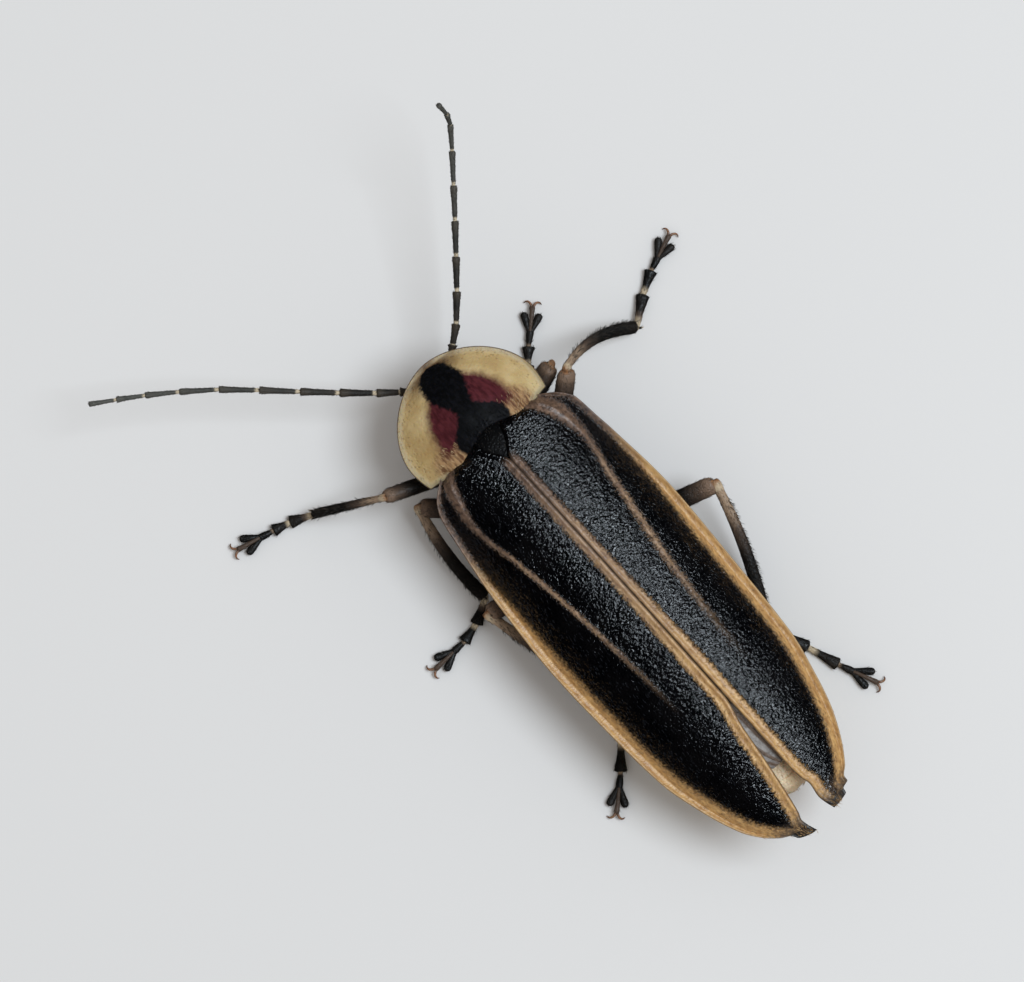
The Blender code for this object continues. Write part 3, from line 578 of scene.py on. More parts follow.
def shield_top(x, y):
    """Height of the dome, which runs out to a flat rim on three sides."""
    y = np.clip(y - shield_base(x) * hind_share(y), SHIELD_FRONT, 0.0)
    sideways = (x / DOME_HALF_WIDTH) ** 2
    forward = (np.maximum(0.0, DOME_MIDDLE_Y - y) / DOME_REACH) ** 2
    dome = np.maximum(0.0, 1 - sideways - forward) ** DOME_FULLNESS
    hind_fall = DOME_HIND_FALL * np.maximum(0.0, (y + DOME_HIND_REACH) / DOME_HIND_REACH) ** 2
    groove = GROOVE_DEPTH * bump_line(x, GROOVE_WIDTH)
    return SHIELD_RIM_Z + (SHIELD_DOME - hind_fall - groove) * dome


def shield_outline(front=200, side=16, hind=84):
    """Outline from the left hind corner round the front to the right, then back along the hind edge."""
    turn = np.pi * spread_out(front, 0.3)
    power = 2 / SHIELD_POINTEDNESS
    arc = np.stack([SHIELD_HALF_WIDTH * np.sign(np.cos(turn)) * np.abs(np.cos(turn)) ** power,
                    SHIELD_WIDEST + (SHIELD_FRONT - SHIELD_WIDEST) * np.sin(turn) ** power], axis=1)
    down = np.linspace(0, SHIELD_WIDEST, side, endpoint=False)
    narrower = (SHIELD_HALF_WIDTH - SHIELD_CORNER) * ((down - SHIELD_WIDEST) / SHIELD_WIDEST) ** 2
    half = SHIELD_HALF_WIDTH - narrower
    left = np.stack([half, down + shield_base(half) * hind_share(down)], axis=1)
    right = left[::-1] * (-1, 1)
    x = np.linspace(-SHIELD_CORNER, SHIELD_CORNER, hind)[1:-1]
    back = np.stack([x, shield_base(x)], axis=1)
    return np.concatenate([left, arc, right, back])


def distance_to_line(points, line):
    """Distance of each point from a closed outline."""
    best = np.full(points.shape[:-1], 1e9)
    for start, end in zip(line, np.roll(line, -1, axis=0)):
        run = end - start
        share = np.clip(((points - start) @ run) / max(run @ run, 1e-12), 0, 1)
        best = np.minimum(best, np.linalg.norm(points - start - share[..., None] * run, axis=-1))
    return best


# %% [markdown]
# The coloured marks of the shield are drawn as fields: below zero inside a mark, above zero outside, in
# millimetres. The black mark is a half width along the shield, and the red spots lie outside it.

# %% Neck shield: marks and mesh
BLACK_HALF_WIDTH = [(-2.30, -0.08), (-2.22, 0.27), (-2.08, 0.42), (-1.88, 0.50), (-1.62, 0.53), (-1.35, 0.45),
                    (-0.92, 0.26), (-0.7, 0.42), (-0.5, 0.66), (-0.25, 0.80), (0.1, 0.74)]
SPOT_OUTER = [(-1.9, 0.36), (-1.6, 0.56), (-1.3, 0.86), (-0.8, 1.09), (-0.5, 1.12), (-0.2, 1.08)]
SPOT_FRONT_Y, SPOT_HIND_Y = -1.75, -0.30
HAZE_REACH = 0.4           # brown haze in front of the spots
SHIELD_RINGS = 84
GOLD_CENTRE = (0.98, -0.12)
GOLD_SIZE = (0.52, 0.42)


def shield_skin():
    outline = shield_outline()
    out = 1 - (1 - np.linspace(0.004, 1, SHIELD_RINGS)) ** 1.45
    flat = SHIELD_MIDDLE + out[:, None, None] * (outline - SHIELD_MIDDLE)[None]
    rim = distance_to_line(flat, outline)
    top = shield_top(flat[..., 0], flat[..., 1]) + SHIELD_RIM_LIFT * bump_line(rim, 0.09)
    under = top - eased(SHIELD_THICKNESS, rim)
    middle = (top[-1:] + under[-1:]) / 2
    border = SHIELD_MIDDLE + 1.003 * (outline - SHIELD_MIDDLE)
    edge = np.concatenate([border, middle[0][:, None]], axis=1)[None]
    above = np.concatenate([flat, top[..., None]], axis=-1)
    below = np.concatenate([flat, under[..., None]], axis=-1)[::-3]
    grid = np.concatenate([above, edge, below])
    x, y = np.abs(grid[..., 0]), grid[..., 1]
    rims = np.concatenate([rim, np.zeros((1, len(outline))), rim[::-3]])
    rims += 0.3 * np.clip((y + 0.35) / 0.2, 0, 1) * np.clip((1.35 - x) / 0.2, 0, 1)
    underside = np.concatenate([np.zeros(rim.shape), np.full((1 + len(below), len(outline)), 1.0)])
    black = x - eased(BLACK_HALF_WIDTH, y)
    spot = np.maximum(np.maximum(x - eased(SPOT_OUTER, y), y - SPOT_HIND_Y), SPOT_FRONT_Y - y)
    gold = ((x - GOLD_CENTRE[0]) / GOLD_SIZE[0]) ** 2 + ((y - GOLD_CENTRE[1]) / GOLD_SIZE[1]) ** 2 - 1
    haze = np.clip(SPOT_FRONT_Y - y, 0.0, HAZE_REACH) / HAZE_REACH
    coat_mark = (np.clip(0.5 - gold, 0, 1) * np.clip(black / 0.1, 0, 1)) * (1 - underside)
    lie = np.stack([-grid[..., 0] * 0.5, np.full(x.shape, 1.0), np.zeros(x.shape)], axis=-1)
    skin = Skin("neck_shield", ("coat", "rim", "black", "spot", "gold", "haze"))
    skin.add(grid, lie=lie, coat=coat_mark, rim=rims, black=black, spot=spot, gold=gold, haze=haze)
    return skin.mesh()


# %% [markdown]
# The finish reads the marks from the outside in: dark edge line, clear rim, cream horn, gold-brown corners,
# red spots, black mark. A little noise frays each edge, as pigment does. Light enters thin horn, so the
# shield has some subsurface light, and its rim is partly see-through.

# %% Neck shield: finish
def shield_finish():
    nodes = Finish("shield_horn", subsurface_weight=0.3, subsurface_scale=0.2 * MM, ior=1.5,
                   specular_ior_level=0.1)
    nodes.shader.inputs["Subsurface Radius"].default_value = (1.0, 0.6, 0.25)
    where = nodes.places()
    rim = mark(nodes, "rim")
    fray = fray_of(nodes, where, 10.0, 4.0, 0.22)
    cloud = noise(nodes, where, 1.6, 5.0)
    cream = ramp(nodes, cloud, [(0.3, tint(0.40, 0.262, 0.11)), (0.5, tint(0.49, 0.35, 0.16)),
                                (0.7, tint(0.58, 0.44, 0.23))])
    streak = noise(nodes, nodes.places((1.0, 0.25, 1.0)), 14.0, 3.0)
    brown = blend(nodes, nodes.between(streak, 0.35, 0.65), tint(0.15, 0.072, 0.036),
                  tint(0.42, 0.26, 0.13))
    gold = nodes.plus(mark(nodes, "gold"), nodes.times(fray, 4.0))
    colour = blend(nodes, nodes.between(gold, 0.7, -0.5), cream, brown)
    pit = nodes.out("ShaderNodeTexVoronoi", {"Vector": where, "Scale": 10.0})
    dots = nodes.times(nodes.between(pit, 0.30, 0.16), nodes.between(rim, 0.42, 0.2))
    colour = blend(nodes, nodes.times(dots, 0.3), colour, tint(0.16, 0.09, 0.03))
    border = nodes.times(nodes.between(rim, 0.19, 0.08), 0.7)
    colour = blend(nodes, border, colour, tint(0.53, 0.44, 0.28))
    black = nodes.plus(mark(nodes, "black"), fray)
    haze = nodes.times(nodes.between(black, 0.62, 0.0), mark(nodes, "haze"))
    colour = blend(nodes, nodes.times(haze, 0.85), colour, tint(0.075, 0.035, 0.02))
    spot = nodes.plus(mark(nodes, "spot"), fray)
    wine = blend(nodes, nodes.between(streak, 0.3, 0.7), tint(0.052, 0.008, 0.011),
                 tint(0.100, 0.019, 0.024))
    redness = nodes.between(spot, 0.20, -0.16)
    colour = blend(nodes, redness, colour, wine)
    dark = blend(nodes, nodes.between(streak, 0.4, 0.7), tint(0.0025, 0.0025, 0.003),
                 tint(0.006, 0.006, 0.008))
    blackness = nodes.between(black, 0.07, -0.06)
    colour = blend(nodes, blackness, colour, dark)
    edge = nodes.between(rim, 0.026, 0.010)
    colour = blend(nodes, edge, colour, tint(0.09, 0.07, 0.05))
    clear = nodes.times(nodes.between(rim, 0.14, 0.03), nodes.minus(1.0, edge))
    alpha = nodes.minus(1.0, nodes.times(clear, 0.35))
    height, mottle = grain(nodes, 11.0, 7.0, 0.8)
    fine = nodes.times(height, nodes.minus(0.5, nodes.times(redness, 0.35)))
    fine = nodes.plus(fine, nodes.times(streak, nodes.between(gold, 0.6, -0.5)))
    fine = nodes.minus(fine, nodes.times(dots, 0.8))
    dull = nodes.plus(nodes.calc("MAXIMUM", redness, blackness), mottle)
    return nodes.surface(colour, 0.30, dull, 0.17, alpha=alpha, normal=bump(nodes, fine, 0.02))


shield = fit(show("neck_shield", shield_skin(), shield_finish()), "neck_shield", "pronotum")

# %% [markdown]
# ## Head, eyes and mouth
# The head hides under the shield. It is a small capsule, almost all eye: two great half balls with a
# saddle between them, where the feelers stand, and a short muzzle that carries thin, crossed jaws and
# jointed palps. The capsule is a tube of rings along a bent line; a separate ring rims each feeler's root.

# %% Head
HEAD_LINE = [(0, -0.45, 1.72), (0, -0.8, 1.66), (0, -1.2, 1.52), (0, -1.55, 1.30), (0, -1.78, 1.12),
             (0, -1.93, 1.03), (0, -1.99, 1.0)]
HEAD_PATCH = (0.02, 0.02, 0.7, 0.98)
SADDLE_DEPTH, SADDLE_Y = 0.07, -1.45
LIP_PLACE = 0.86           # share of the head's line where a groove sets off the lip
SOCKET_RIM = [(0, 0.17), (0.7, 0.16), (0.9, 0.14), (1, 0.1)]
HEAD_WIDE = [(0.0, 0.62), (0.25, 0.74), (0.5, 0.66), (0.72, 0.42), (0.88, 0.34), (0.96, 0.28), (1.0, 0.16)]
HEAD_DEEP = [(0.0, 0.42), (0.25, 0.50), (0.5, 0.50), (0.72, 0.30), (0.88, 0.18), (0.96, 0.13), (1.0, 0.07)]
SOCKET = {"left": (0.245, -1.66, 1.70), "right": (-0.245, -1.66, 1.70)}
SCAPE_END = {"left": (0.62, -2.20, 1.57), "right": (-0.80, -2.22, 1.57)}


def head_skin():
    skin = Skin("head")
    way = smooth_way(HEAD_LINE, 90)
    share = even(len(way))
    grid = ring_tube(way, eased(HEAD_WIDE, share), eased(HEAD_DEEP, share), UP, 72)
    saddle = bump_line(grid[..., 0], 0.24) * bump_line(grid[..., 1] - SADDLE_Y, 0.32)
    grid[..., 2] -= SADDLE_DEPTH * (saddle * (grid[..., 2] > way[:, None, 2]))
    lip_groove = bump_line(share - LIP_PLACE, 0.012)[:, None] * 0.02
    grid = way[:, None] + (grid - way[:, None]) * (1 - lip_groove / 0.3)[..., None]
    skin.add(grid, patch=HEAD_PATCH)
    for row, (place, end) in enumerate(zip(SOCKET.values(), SCAPE_END.values())):
        place, lead = np.array(place), unit(np.array(end) - place)
        rim_way = place[None] + lead * np.linspace(-0.1, 0.05, 10)[:, None]
        rim_size = eased(SOCKET_RIM, even(10))
        skin.add(ring_tube(rim_way, rim_size, rim_size, UP, 28),
                 patch=(0.74, 0.02 + 0.5 * row, 0.98, 0.48 + 0.5 * row))
    return skin.mesh()


def horn_finish(name, dark, light, pits, wrinkles, depth, rough, **constants):
    """Brown to black horn, mottled and pitted: most of the body is this in different mixes."""
    nodes = Finish(name, **constants)
    height, mottle = grain(nodes, pits, wrinkles)
    colour = blend(nodes, mottle, dark, light)
    return nodes.surface(colour, rough, mottle, 0.12, normal=bump(nodes, height, depth))


HEAD_HORN = horn_finish("head_horn", tint(0.030, 0.016, 0.010), tint(0.11, 0.06, 0.035), pits=14.0,
                        wrinkles=8.0, depth=0.012, rough=0.34)
fit(show("head_capsule", head_skin(), HEAD_HORN), "body_shell", "head")

# %% [markdown]
# An insect's eye is a ball of small six-sided lenses. A geodesic ball turned into its dual mesh has just
# that pattern, so the geometry tree makes one, raises every facet a little and narrows its top. The facets
# are real geometry and catch the light one by one.

# %% Eyes of small lenses
EYE_CENTRE = (0.60, -1.17, 1.50)
EYE_RADII = (0.63, 0.575, 0.565)
FACET_LIFT = 0.014
FACET_TOP = 0.62           # width of a facet's top for its foot
EYE_FINENESS = 5


def eye_tree():
    tree, nodes, given, result = new_tree("faceted eye", [
        ("Geometry", "Geometry"), ("Fineness", "Int"), ("Radii", "Vector"), ("Centre", "Vector"),
        ("Facet Lift", "Float"), ("Finish", "Material")])
    ico = nodes.out("GeometryNodeMeshIcoSphere", {"Radius": 1.0, "Subdivisions": given["Fineness"]})
    lenses = nodes.out("GeometryNodeDualMesh", {"Mesh": ico})
    raised = nodes.node("GeometryNodeExtrudeMesh", {"Mesh": lenses, "Offset Scale": given["Facet Lift"],
                                                   "Individual": True})
    domed = nodes.out("GeometryNodeScaleElements", {"Geometry": raised.outputs["Mesh"],
                                                   "Selection": raised.outputs["Top"], "Scale": FACET_TOP})
    stretched = nodes.out("GeometryNodeTransform", {"Geometry": domed, "Translation": given["Centre"],
                                                   "Scale": given["Radii"]})
    smooth = nodes.out("GeometryNodeSetShadeSmooth", {"Geometry": stretched, "Shade Smooth": True})
    close_tree(nodes, smooth, given["Finish"], result)
    return tree


def eye_finish():
    """Black lens over a brown depth, with a clear coat that takes the window's light."""
    nodes = Finish("eye_lens", coat_weight=0.6, coat_roughness=0.12, ior=1.5)
    where = nodes.places()
    cell = nodes.out("ShaderNodeTexVoronoi", {"Vector": where, "Scale": 24.0})
    shade = blend(nodes, nodes.between(cell, 0.1, 0.6), tint(0.016, 0.011, 0.009),
                  tint(0.004, 0.003, 0.003))
    cloud = nodes.between(noise(nodes, where, 2.5, 3.0), 0.4, 0.65)
    colour = blend(nodes, cloud, shade, tint(0.03, 0.017, 0.01))
    return nodes.surface(colour, 0.16, cell, 0.15)


EYE_TREE = eye_tree()
EYE_LENS = eye_finish()
for side, sign in SIDES.items():
    centre = Vector((sign * EYE_CENTRE[0], EYE_CENTRE[1], EYE_CENTRE[2])) * MM + Vector(HOME)
    lenses = grown("eye_" + side, bpy.data.meshes.new("eye_seed"), EYE_TREE, {
        "Fineness": EYE_FINENESS, "Radii": [radius * MM for radius in EYE_RADII], "Centre": list(centre),
        "Facet Lift": FACET_LIFT, "Finish": EYE_LENS})
    fit(show("eye_lenses_" + side, lenses), "eye", "eye_" + side)


# %% [markdown]
# Jaws are thin sickles of dark red horn that cross in front. Palps are short feelers of three or four
# joints, the last one broad and cut off like an axe. A jaw is a tube whose size follows a short list; the
# size of a palp follows a rule, with a waist at each joint.

# %% Jaws and palps
JAW_WAY = [(0.26, -1.86, 1.0), (0.27, -2.05, 0.96), (0.23, -2.22, 0.93), (0.10, -2.35, 0.92),
           (-0.02, -2.38, 0.93)]
JAW_SIZE = [(0.0, 0.11), (0.35, 0.085), (0.7, 0.05), (1.0, 0.012)]
UPPER_PALP = [(0.30, -1.70, 0.98), (0.50, -1.78, 0.84), (0.64, -1.98, 0.74), (0.66, -2.20, 0.60)]
LOWER_PALP = [(0.10, -1.84, 0.92), (0.15, -1.98, 0.82), (0.19, -2.12, 0.70)]
PALPS = ((UPPER_PALP, 4, 0.105), (LOWER_PALP, 3, 0.065))      # way, joints and half width
JAW_RINGS, PALP_RINGS = 40, 60
JAW_CROSSING = 0.035       # how far the left jaw lies above and the right one below the middle


def palp_size(share, joints, size):
    """Narrow at each joint and widest on the last one."""
    phase = (share * joints) % 1.0
    waist = 1 - 0.35 * bump_line(np.minimum(phase, 1 - phase), 0.09)
    growth = 0.7 + 0.5 * share ** 2
    return size * waist * growth * np.where(share > 0.97, 0.75, 1.0)


JAW_HORN = horn_finish("jaw_horn", tint(0.09, 0.028, 0.012), tint(0.26, 0.10, 0.035), pits=20.0,
                       wrinkles=10.0, depth=0.006, rough=0.22)
for side, sign in SIDES.items():
    mirror = np.array([sign, 1.0, 1.0])
    share = even(JAW_RINGS)
    jaw = Skin("mandible_" + side)
    way = smooth_way(np.array(JAW_WAY) * mirror + (0.0, 0.0, JAW_CROSSING * sign), JAW_RINGS)
    jaw.add(ring_tube(way, eased(JAW_SIZE, share) * 0.7, eased(JAW_SIZE, share), UP, 20))
    fit(show("jaw_" + side, jaw.mesh(), JAW_HORN), "body_shell", "mandible_" + side)
    palp = Skin("palp_" + side)
    share = even(PALP_RINGS)
    for k, (points, joints, size) in enumerate(PALPS):
        wide = palp_size(share, joints, size)
        way = smooth_way(np.array(points) * mirror, PALP_RINGS)
        palp.add(ring_tube(way, wide, wide * 0.8, UP, 22), patch=(0.02 + 0.5 * k, 0.02, 0.48 + 0.5 * k, 0.98))
    fit(show("mouth_palp_" + side, palp.mesh(), HEAD_HORN), "body_shell", "palp_" + side)


# %% [markdown]
# ## Feelers
# A feeler has eleven joints: a stout stem, a tiny second joint, and nine long ones that widen outwards like
# goblets set into one another. Each begins with a pale ring. Their repetition asks for Geometry Nodes: one
# goblet is drawn, and the tree sets a copy on each joint's start, turned along the joint and stretched to
# its length. The joints stay straight and the feeler bends between them, as real ones do.

# %% Feelers: the goblet and its tree
WHIP_JOINTS = (0.22, 0.60, 0.91, 0.97, 1.00, 0.99, 0.97, 0.84, 0.71, 0.68)
WHIP_WAY = {"left": [(0.62, -2.20, 1.57), (1.35, -2.79, 1.70), (2.71, -4.05, 1.84), (4.15, -5.40, 1.96),
                     (5.59, -6.48, 2.08), (6.76, -7.22, 2.20)],
            "right": [(-0.80, -2.22, 1.57), (-1.45, -2.75, 1.73), (-2.69, -4.17, 2.18), (-3.95, -5.70, 2.75),
                      (-4.40, -6.28, 3.20), (-4.47, -6.48, 3.80), (-4.41, -6.78, 4.42)]}
WHIP_RADIUS = 0.108
WHIP_TIP_RADIUS = 0.068
STEM_RADIUS = 0.135
GOBLET = [(0.0, 0.42), (0.02, 0.5), (0.06, 0.56), (0.13, 0.60), (0.16, 0.66), (0.5, 0.76), (0.78, 0.88),
          (0.92, 1.0), (0.965, 0.97), (0.99, 0.82), (1.0, 0.5)]


GOBLET_ROWS = (0.0, 0.02, 0.05, 0.09, 0.12, 0.15, 0.2, 0.3, 0.42, 0.55, 0.68, 0.8, 0.88, 0.93, 0.965,
               0.985, 1.0)
GOBLET_SIDES = 20
JOINT_OVERLAP = 0.035      # how far a joint's root sits in the one before it


def goblet_template():
    """One joint of unit length and radius, with its flat wrap kept on the corners."""
    mesh = bpy.data.meshes.new("goblet_template")
    turns = 2 * np.pi * np.arange(GOBLET_SIDES) / GOBLET_SIDES
    points = [(size * np.cos(turn), size * np.sin(turn), share)
              for size, share in zip(eased(GOBLET, GOBLET_ROWS), GOBLET_ROWS) for turn in turns]
    faces, places = [], []
    for k in range(len(GOBLET_ROWS) - 1):
        low, high = GOBLET_ROWS[k], GOBLET_ROWS[k + 1]
        for n in range(GOBLET_SIDES):
            here, after = GOBLET_SIDES * k + n, GOBLET_SIDES * k + (n + 1) % GOBLET_SIDES
            faces.append((here, after, after + GOBLET_SIDES, here + GOBLET_SIDES))
            u, next_u = n / GOBLET_SIDES, (n + 1) / GOBLET_SIDES
            places += [(u, low, 0.0), (next_u, low, 0.0), (next_u, high, 0.0), (u, high, 0.0)]
    last_row = GOBLET_SIDES * (len(GOBLET_ROWS) - 1)
    faces += [tuple(range(GOBLET_SIDES))[::-1], tuple(range(last_row, last_row + GOBLET_SIDES))]
    places += [(n / GOBLET_SIDES, end, 0.0) for end in (0.0, 1.0) for n in range(GOBLET_SIDES)]
    mesh.from_pydata(points, [], faces)
    store(mesh, "along", np.repeat(GOBLET_ROWS, GOBLET_SIDES))
    store(mesh, "wrap", places, "FLOAT_VECTOR", "CORNER")
    mesh.shade_smooth()
    return show("goblet_template", mesh)


def feeler_tree(joint_count):
    tree, nodes, given, result = new_tree("jointed feeler", [
        ("Geometry", "Geometry"), ("Joint", "Object"), ("Finish", "Material")])
    starts = nodes.out("GeometryNodeMeshToPoints", {"Mesh": given["Geometry"]})
    turned = nodes.turned_to(nodes.named("lie", "FLOAT_VECTOR"), UP)
    thick = nodes.named("thick")
    size = nodes.out("ShaderNodeCombineXYZ", {"X": thick, "Y": thick, "Z": nodes.named("length")})
    real = nodes.copies(starts, given["Joint"], turned, size)
    strip = nodes.vector("MULTIPLY", nodes.named("wrap", "FLOAT_VECTOR"), (1 / joint_count, 0.98, 0.0))
    column = nodes.calc("DIVIDE", nodes.named("joint"), joint_count)
    start = nodes.out("ShaderNodeCombineXYZ", {"X": column, "Y": 0.01})
    mapped = nodes.mapped(real, "skin_map", nodes.vector("ADD", strip, start))
    close_tree(nodes, mapped, given["Finish"], result)
    return tree


# %% [markdown]
# The finish of the feelers reads how far along its joint a spot lies: cream in the first tenth, then dark
# grey-brown, a shade browner at the flared end. Fine fur makes the surface look velvety, so it is rough.

# %% Feelers: finish and pieces
def feeler_finish():
    nodes = Finish("feeler_horn", specular_ior_level=0.35)
    height, mottle = grain(nodes, 30.0, 16.0, 0.9)
    share = nodes.plus(mark(nodes, "along"), fray_of(nodes, nodes.places(), 30.0, 2.0, 0.06))
    dark = blend(nodes, mottle, tint(0.012, 0.010, 0.008), tint(0.045, 0.036, 0.028))
    brown = blend(nodes, nodes.between(share, 0.55, 0.95), dark, tint(0.055, 0.042, 0.030))
    far = nodes.times(nodes.between(mark(nodes, "joint"), 2.0, 10.0), 0.7)
    brown = blend(nodes, far, brown, tint(0.115, 0.115, 0.10))
    colour = blend(nodes, nodes.between(share, 0.17, 0.10), brown, tint(0.56, 0.46, 0.32))
    return nodes.surface(colour, 0.48, mottle, 0.15, normal=bump(nodes, height, 0.01))


def joint_starts(side):
    """Start of every joint from the stem to the tip, then the tip itself; and the joints' radii."""
    way = smooth_way(WHIP_WAY[side], 400)
    marks = even(400)
    ends = np.concatenate([[0], np.cumsum(WHIP_JOINTS)]) / sum(WHIP_JOINTS)
    spots = np.concatenate([[SOCKET[side]], at_shares(way, marks, ends)])
    radii = np.concatenate([[STEM_RADIUS, 0.85 * STEM_RADIUS],
                            np.linspace(WHIP_RADIUS, WHIP_TIP_RADIUS, len(WHIP_JOINTS) - 1)])
    return spots, radii


def feeler(side, template, tree, finish):
    spots, radii = joint_starts(side)
    runs = np.diff(spots, axis=0)
    lengths = np.linalg.norm(runs, axis=1)
    leads = runs / lengths[:, None]
    starts = spots[:-1] - leads * np.minimum(JOINT_OVERLAP, lengths * 0.1)[:, None]
    mesh = bpy.data.meshes.new("feeler_" + side + "_starts")
    mesh.from_pydata((starts * MM + HOME).tolist(), [], [])
    store(mesh, "thick", radii * MM)
    store(mesh, "length", (lengths + JOINT_OVERLAP) * MM)
    store(mesh, "joint", np.arange(len(lengths), dtype=float))
    store(mesh, "coat", np.ones(len(lengths)))
    store(mesh, "lie", leads, "FLOAT_VECTOR")
    return grown("antenna_" + side, mesh, tree, {"Joint": template, "Finish": finish})


GOBLET_JOINT = goblet_template()
FEELER_TREE = feeler_tree(len(WHIP_JOINTS) + 1)
FEELER_HORN = feeler_finish()
feelers = {}
for side in SIDES:
    feelers[side] = feeler(side, GOBLET_JOINT, FEELER_TREE, FEELER_HORN)
    name = "antenna_" + side
    fit(show(name, feelers[side]), "feeler", name + "_scape", name + "_whip")
bpy.data.objects.remove(GOBLET_JOINT)

# %% [markdown]
# ## Wing cases
# The wing cases are two leathery lids. Their inner edges meet in a seam, each with a rounded, pale bead; a
# pale rib starts at the shoulder and fades out behind; the outer rim is flat, turned up at its edge and
# amber. Towards the tail the seam opens, and both tips are a little torn. Rows along Y and columns across
# give the plate, the underside follows a thin wall below, and each row closes into a ring.

# %% Wing cases: measures
CASE_ROWS, CASE_COLUMNS = 400, 100
CASE_BASE = -0.10
CASE_TIP = {"left": 12.585, "right": 12.47}
CASE_OUTER = {
    "left": [(-0.10, 1.45), (0.05, 1.66), (0.2, 1.86), (0.40, 2.06), (0.72, 2.21), (1.55, 2.35), (3.2, 2.57),
             (5.6, 2.72), (7.8, 2.65), (9.15, 2.55), (10.32, 2.28), (11.36, 1.90), (11.79, 1.62),
             (12.15, 1.25), (12.28, 1.03), (12.34, 0.98), (12.44, 0.92), (12.52, 0.78), (12.60, 0.54)],
    "right": [(-0.10, 1.42), (0.05, 1.62), (0.25, 1.90), (0.45, 2.10), (0.69, 2.25), (1.48, 2.36),
              (1.86, 2.41), (3.86, 2.56), (6.5, 2.46), (8.55, 2.33), (9.75, 2.08), (10.54, 1.85),
              (11.3, 1.50), (11.87, 1.12), (12.08, 0.91), (12.20, 0.90), (12.27, 0.70), (12.40, 0.67),
              (12.44, 0.56), (12.48, 0.34)]}
CASE_INNER = {
    "left": [(-0.10, 0.44), (0.2, 0.38), (0.45, 0.24), (0.7, 0.08), (0.85, 0.042), (8.6, 0.05), (9.44, 0.21),
             (10.28, 0.31), (10.95, 0.40), (11.97, 0.56), (12.15, 0.62), (12.34, 0.58), (12.60, 0.48)],
    "right": [(-0.10, 0.38), (0.2, 0.32), (0.45, 0.18), (0.7, 0.02), (0.85, -0.018), (8.6, -0.01),
              (11.0, 0.02), (11.36, 0.06), (11.63, 0.13), (11.99, 0.09), (12.18, 0.12), (12.48, 0.22)]}
CASE_RIDGE_Z = [(-0.10, 3.14), (0.33, 3.28), (0.7, 3.38), (1.6, 3.50), (4.0, 3.58), (7.0, 3.55), (9.0, 3.37),
                (10.5, 3.08), (11.5, 2.78), (12.6, 2.38)]
CASE_RIM_Z = [(-0.10, 2.72), (0.33, 2.72), (1.2, 2.46), (3.0, 2.26), (7.0, 2.20), (10.0, 2.14), (12.6, 2.14)]
CASE_RIB = [(-0.10, 0.80), (0.4, 0.74), (1.2, 0.77), (3.0, 0.61), (5.5, 0.47), (7.6, 0.43), (12.6, 0.42)]
RIB_MARK = {"left": 1.25, "right": 0.8}      # the right rib looks broader
CASE_WALL = 0.11
CASE_SHOULDER = 0.34       # how far the base rounds down behind the neck shield
CASE_FLAP = {"left": 12.36, "right": 12.24}      # where the torn tip begins to bend down
RIB_END, RIB_FADE = 8.6, 3.0
ARCH_END = 0.93            # share of the width where the arch meets the flat rim
BEAD_HEIGHT, RIB_HEIGHT, RIM_HEIGHT, GUTTER_DEPTH = 0.045, 0.05, 0.05, 0.02

# %% Wing cases: sections and mesh
def case_sections(side):
    """Upper side of a wing case in rows and columns, with the distances that its finish reads."""
    y = CASE_BASE + (CASE_TIP[side] - CASE_BASE) * spread_out(CASE_ROWS, 0.45)[:, None]
    share = spread_out(CASE_COLUMNS, 0.5)[None]
    inner, outer = eased(CASE_INNER[side], y), eased(CASE_OUTER[side], y)
    width = outer - inner
    seam, rim = share * width, (1 - share) * width
    ridge, low = eased(CASE_RIDGE_Z, y), eased(CASE_RIM_Z, y)
    arch = (1 - np.minimum(1.0, share / ARCH_END) ** 2.3) ** 0.9
    rib_gap = (share - eased(CASE_RIB, y)) * width
    fade = np.clip((RIB_END - y) / RIB_FADE, 0.0, 1.0)
    height = low + (ridge - low) * arch
    height += BEAD_HEIGHT * bump_line(seam - 0.06, 0.06)
    height += RIB_HEIGHT * fade * bump_line(rib_gap, 0.07)
    height += RIM_HEIGHT * bump_line(rim, 0.07) - GUTTER_DEPTH * bump_line(rim - 0.30, 0.09)
    into = np.clip((y - CASE_BASE) / CASE_SHOULDER, 0.0, 1.0)
    height -= CASE_SHOULDER * (1 - np.sqrt(1 - (1 - into) ** 2))
    flap = np.clip((y - CASE_FLAP[side]) / 0.2, 0.0, 1.5)
    height -= 0.05 * flap ** 2 - 0.03 * flap * np.sin(5 * share * np.pi)
    x = inner + width * share
    wall = CASE_WALL * np.clip(0.35 + rim / 0.35, 0.35, 1.0) * np.clip(0.5 + seam / 0.2, 0.5, 1.0)
    return y + 0 * share, x, height, wall, seam, rim, rib_gap


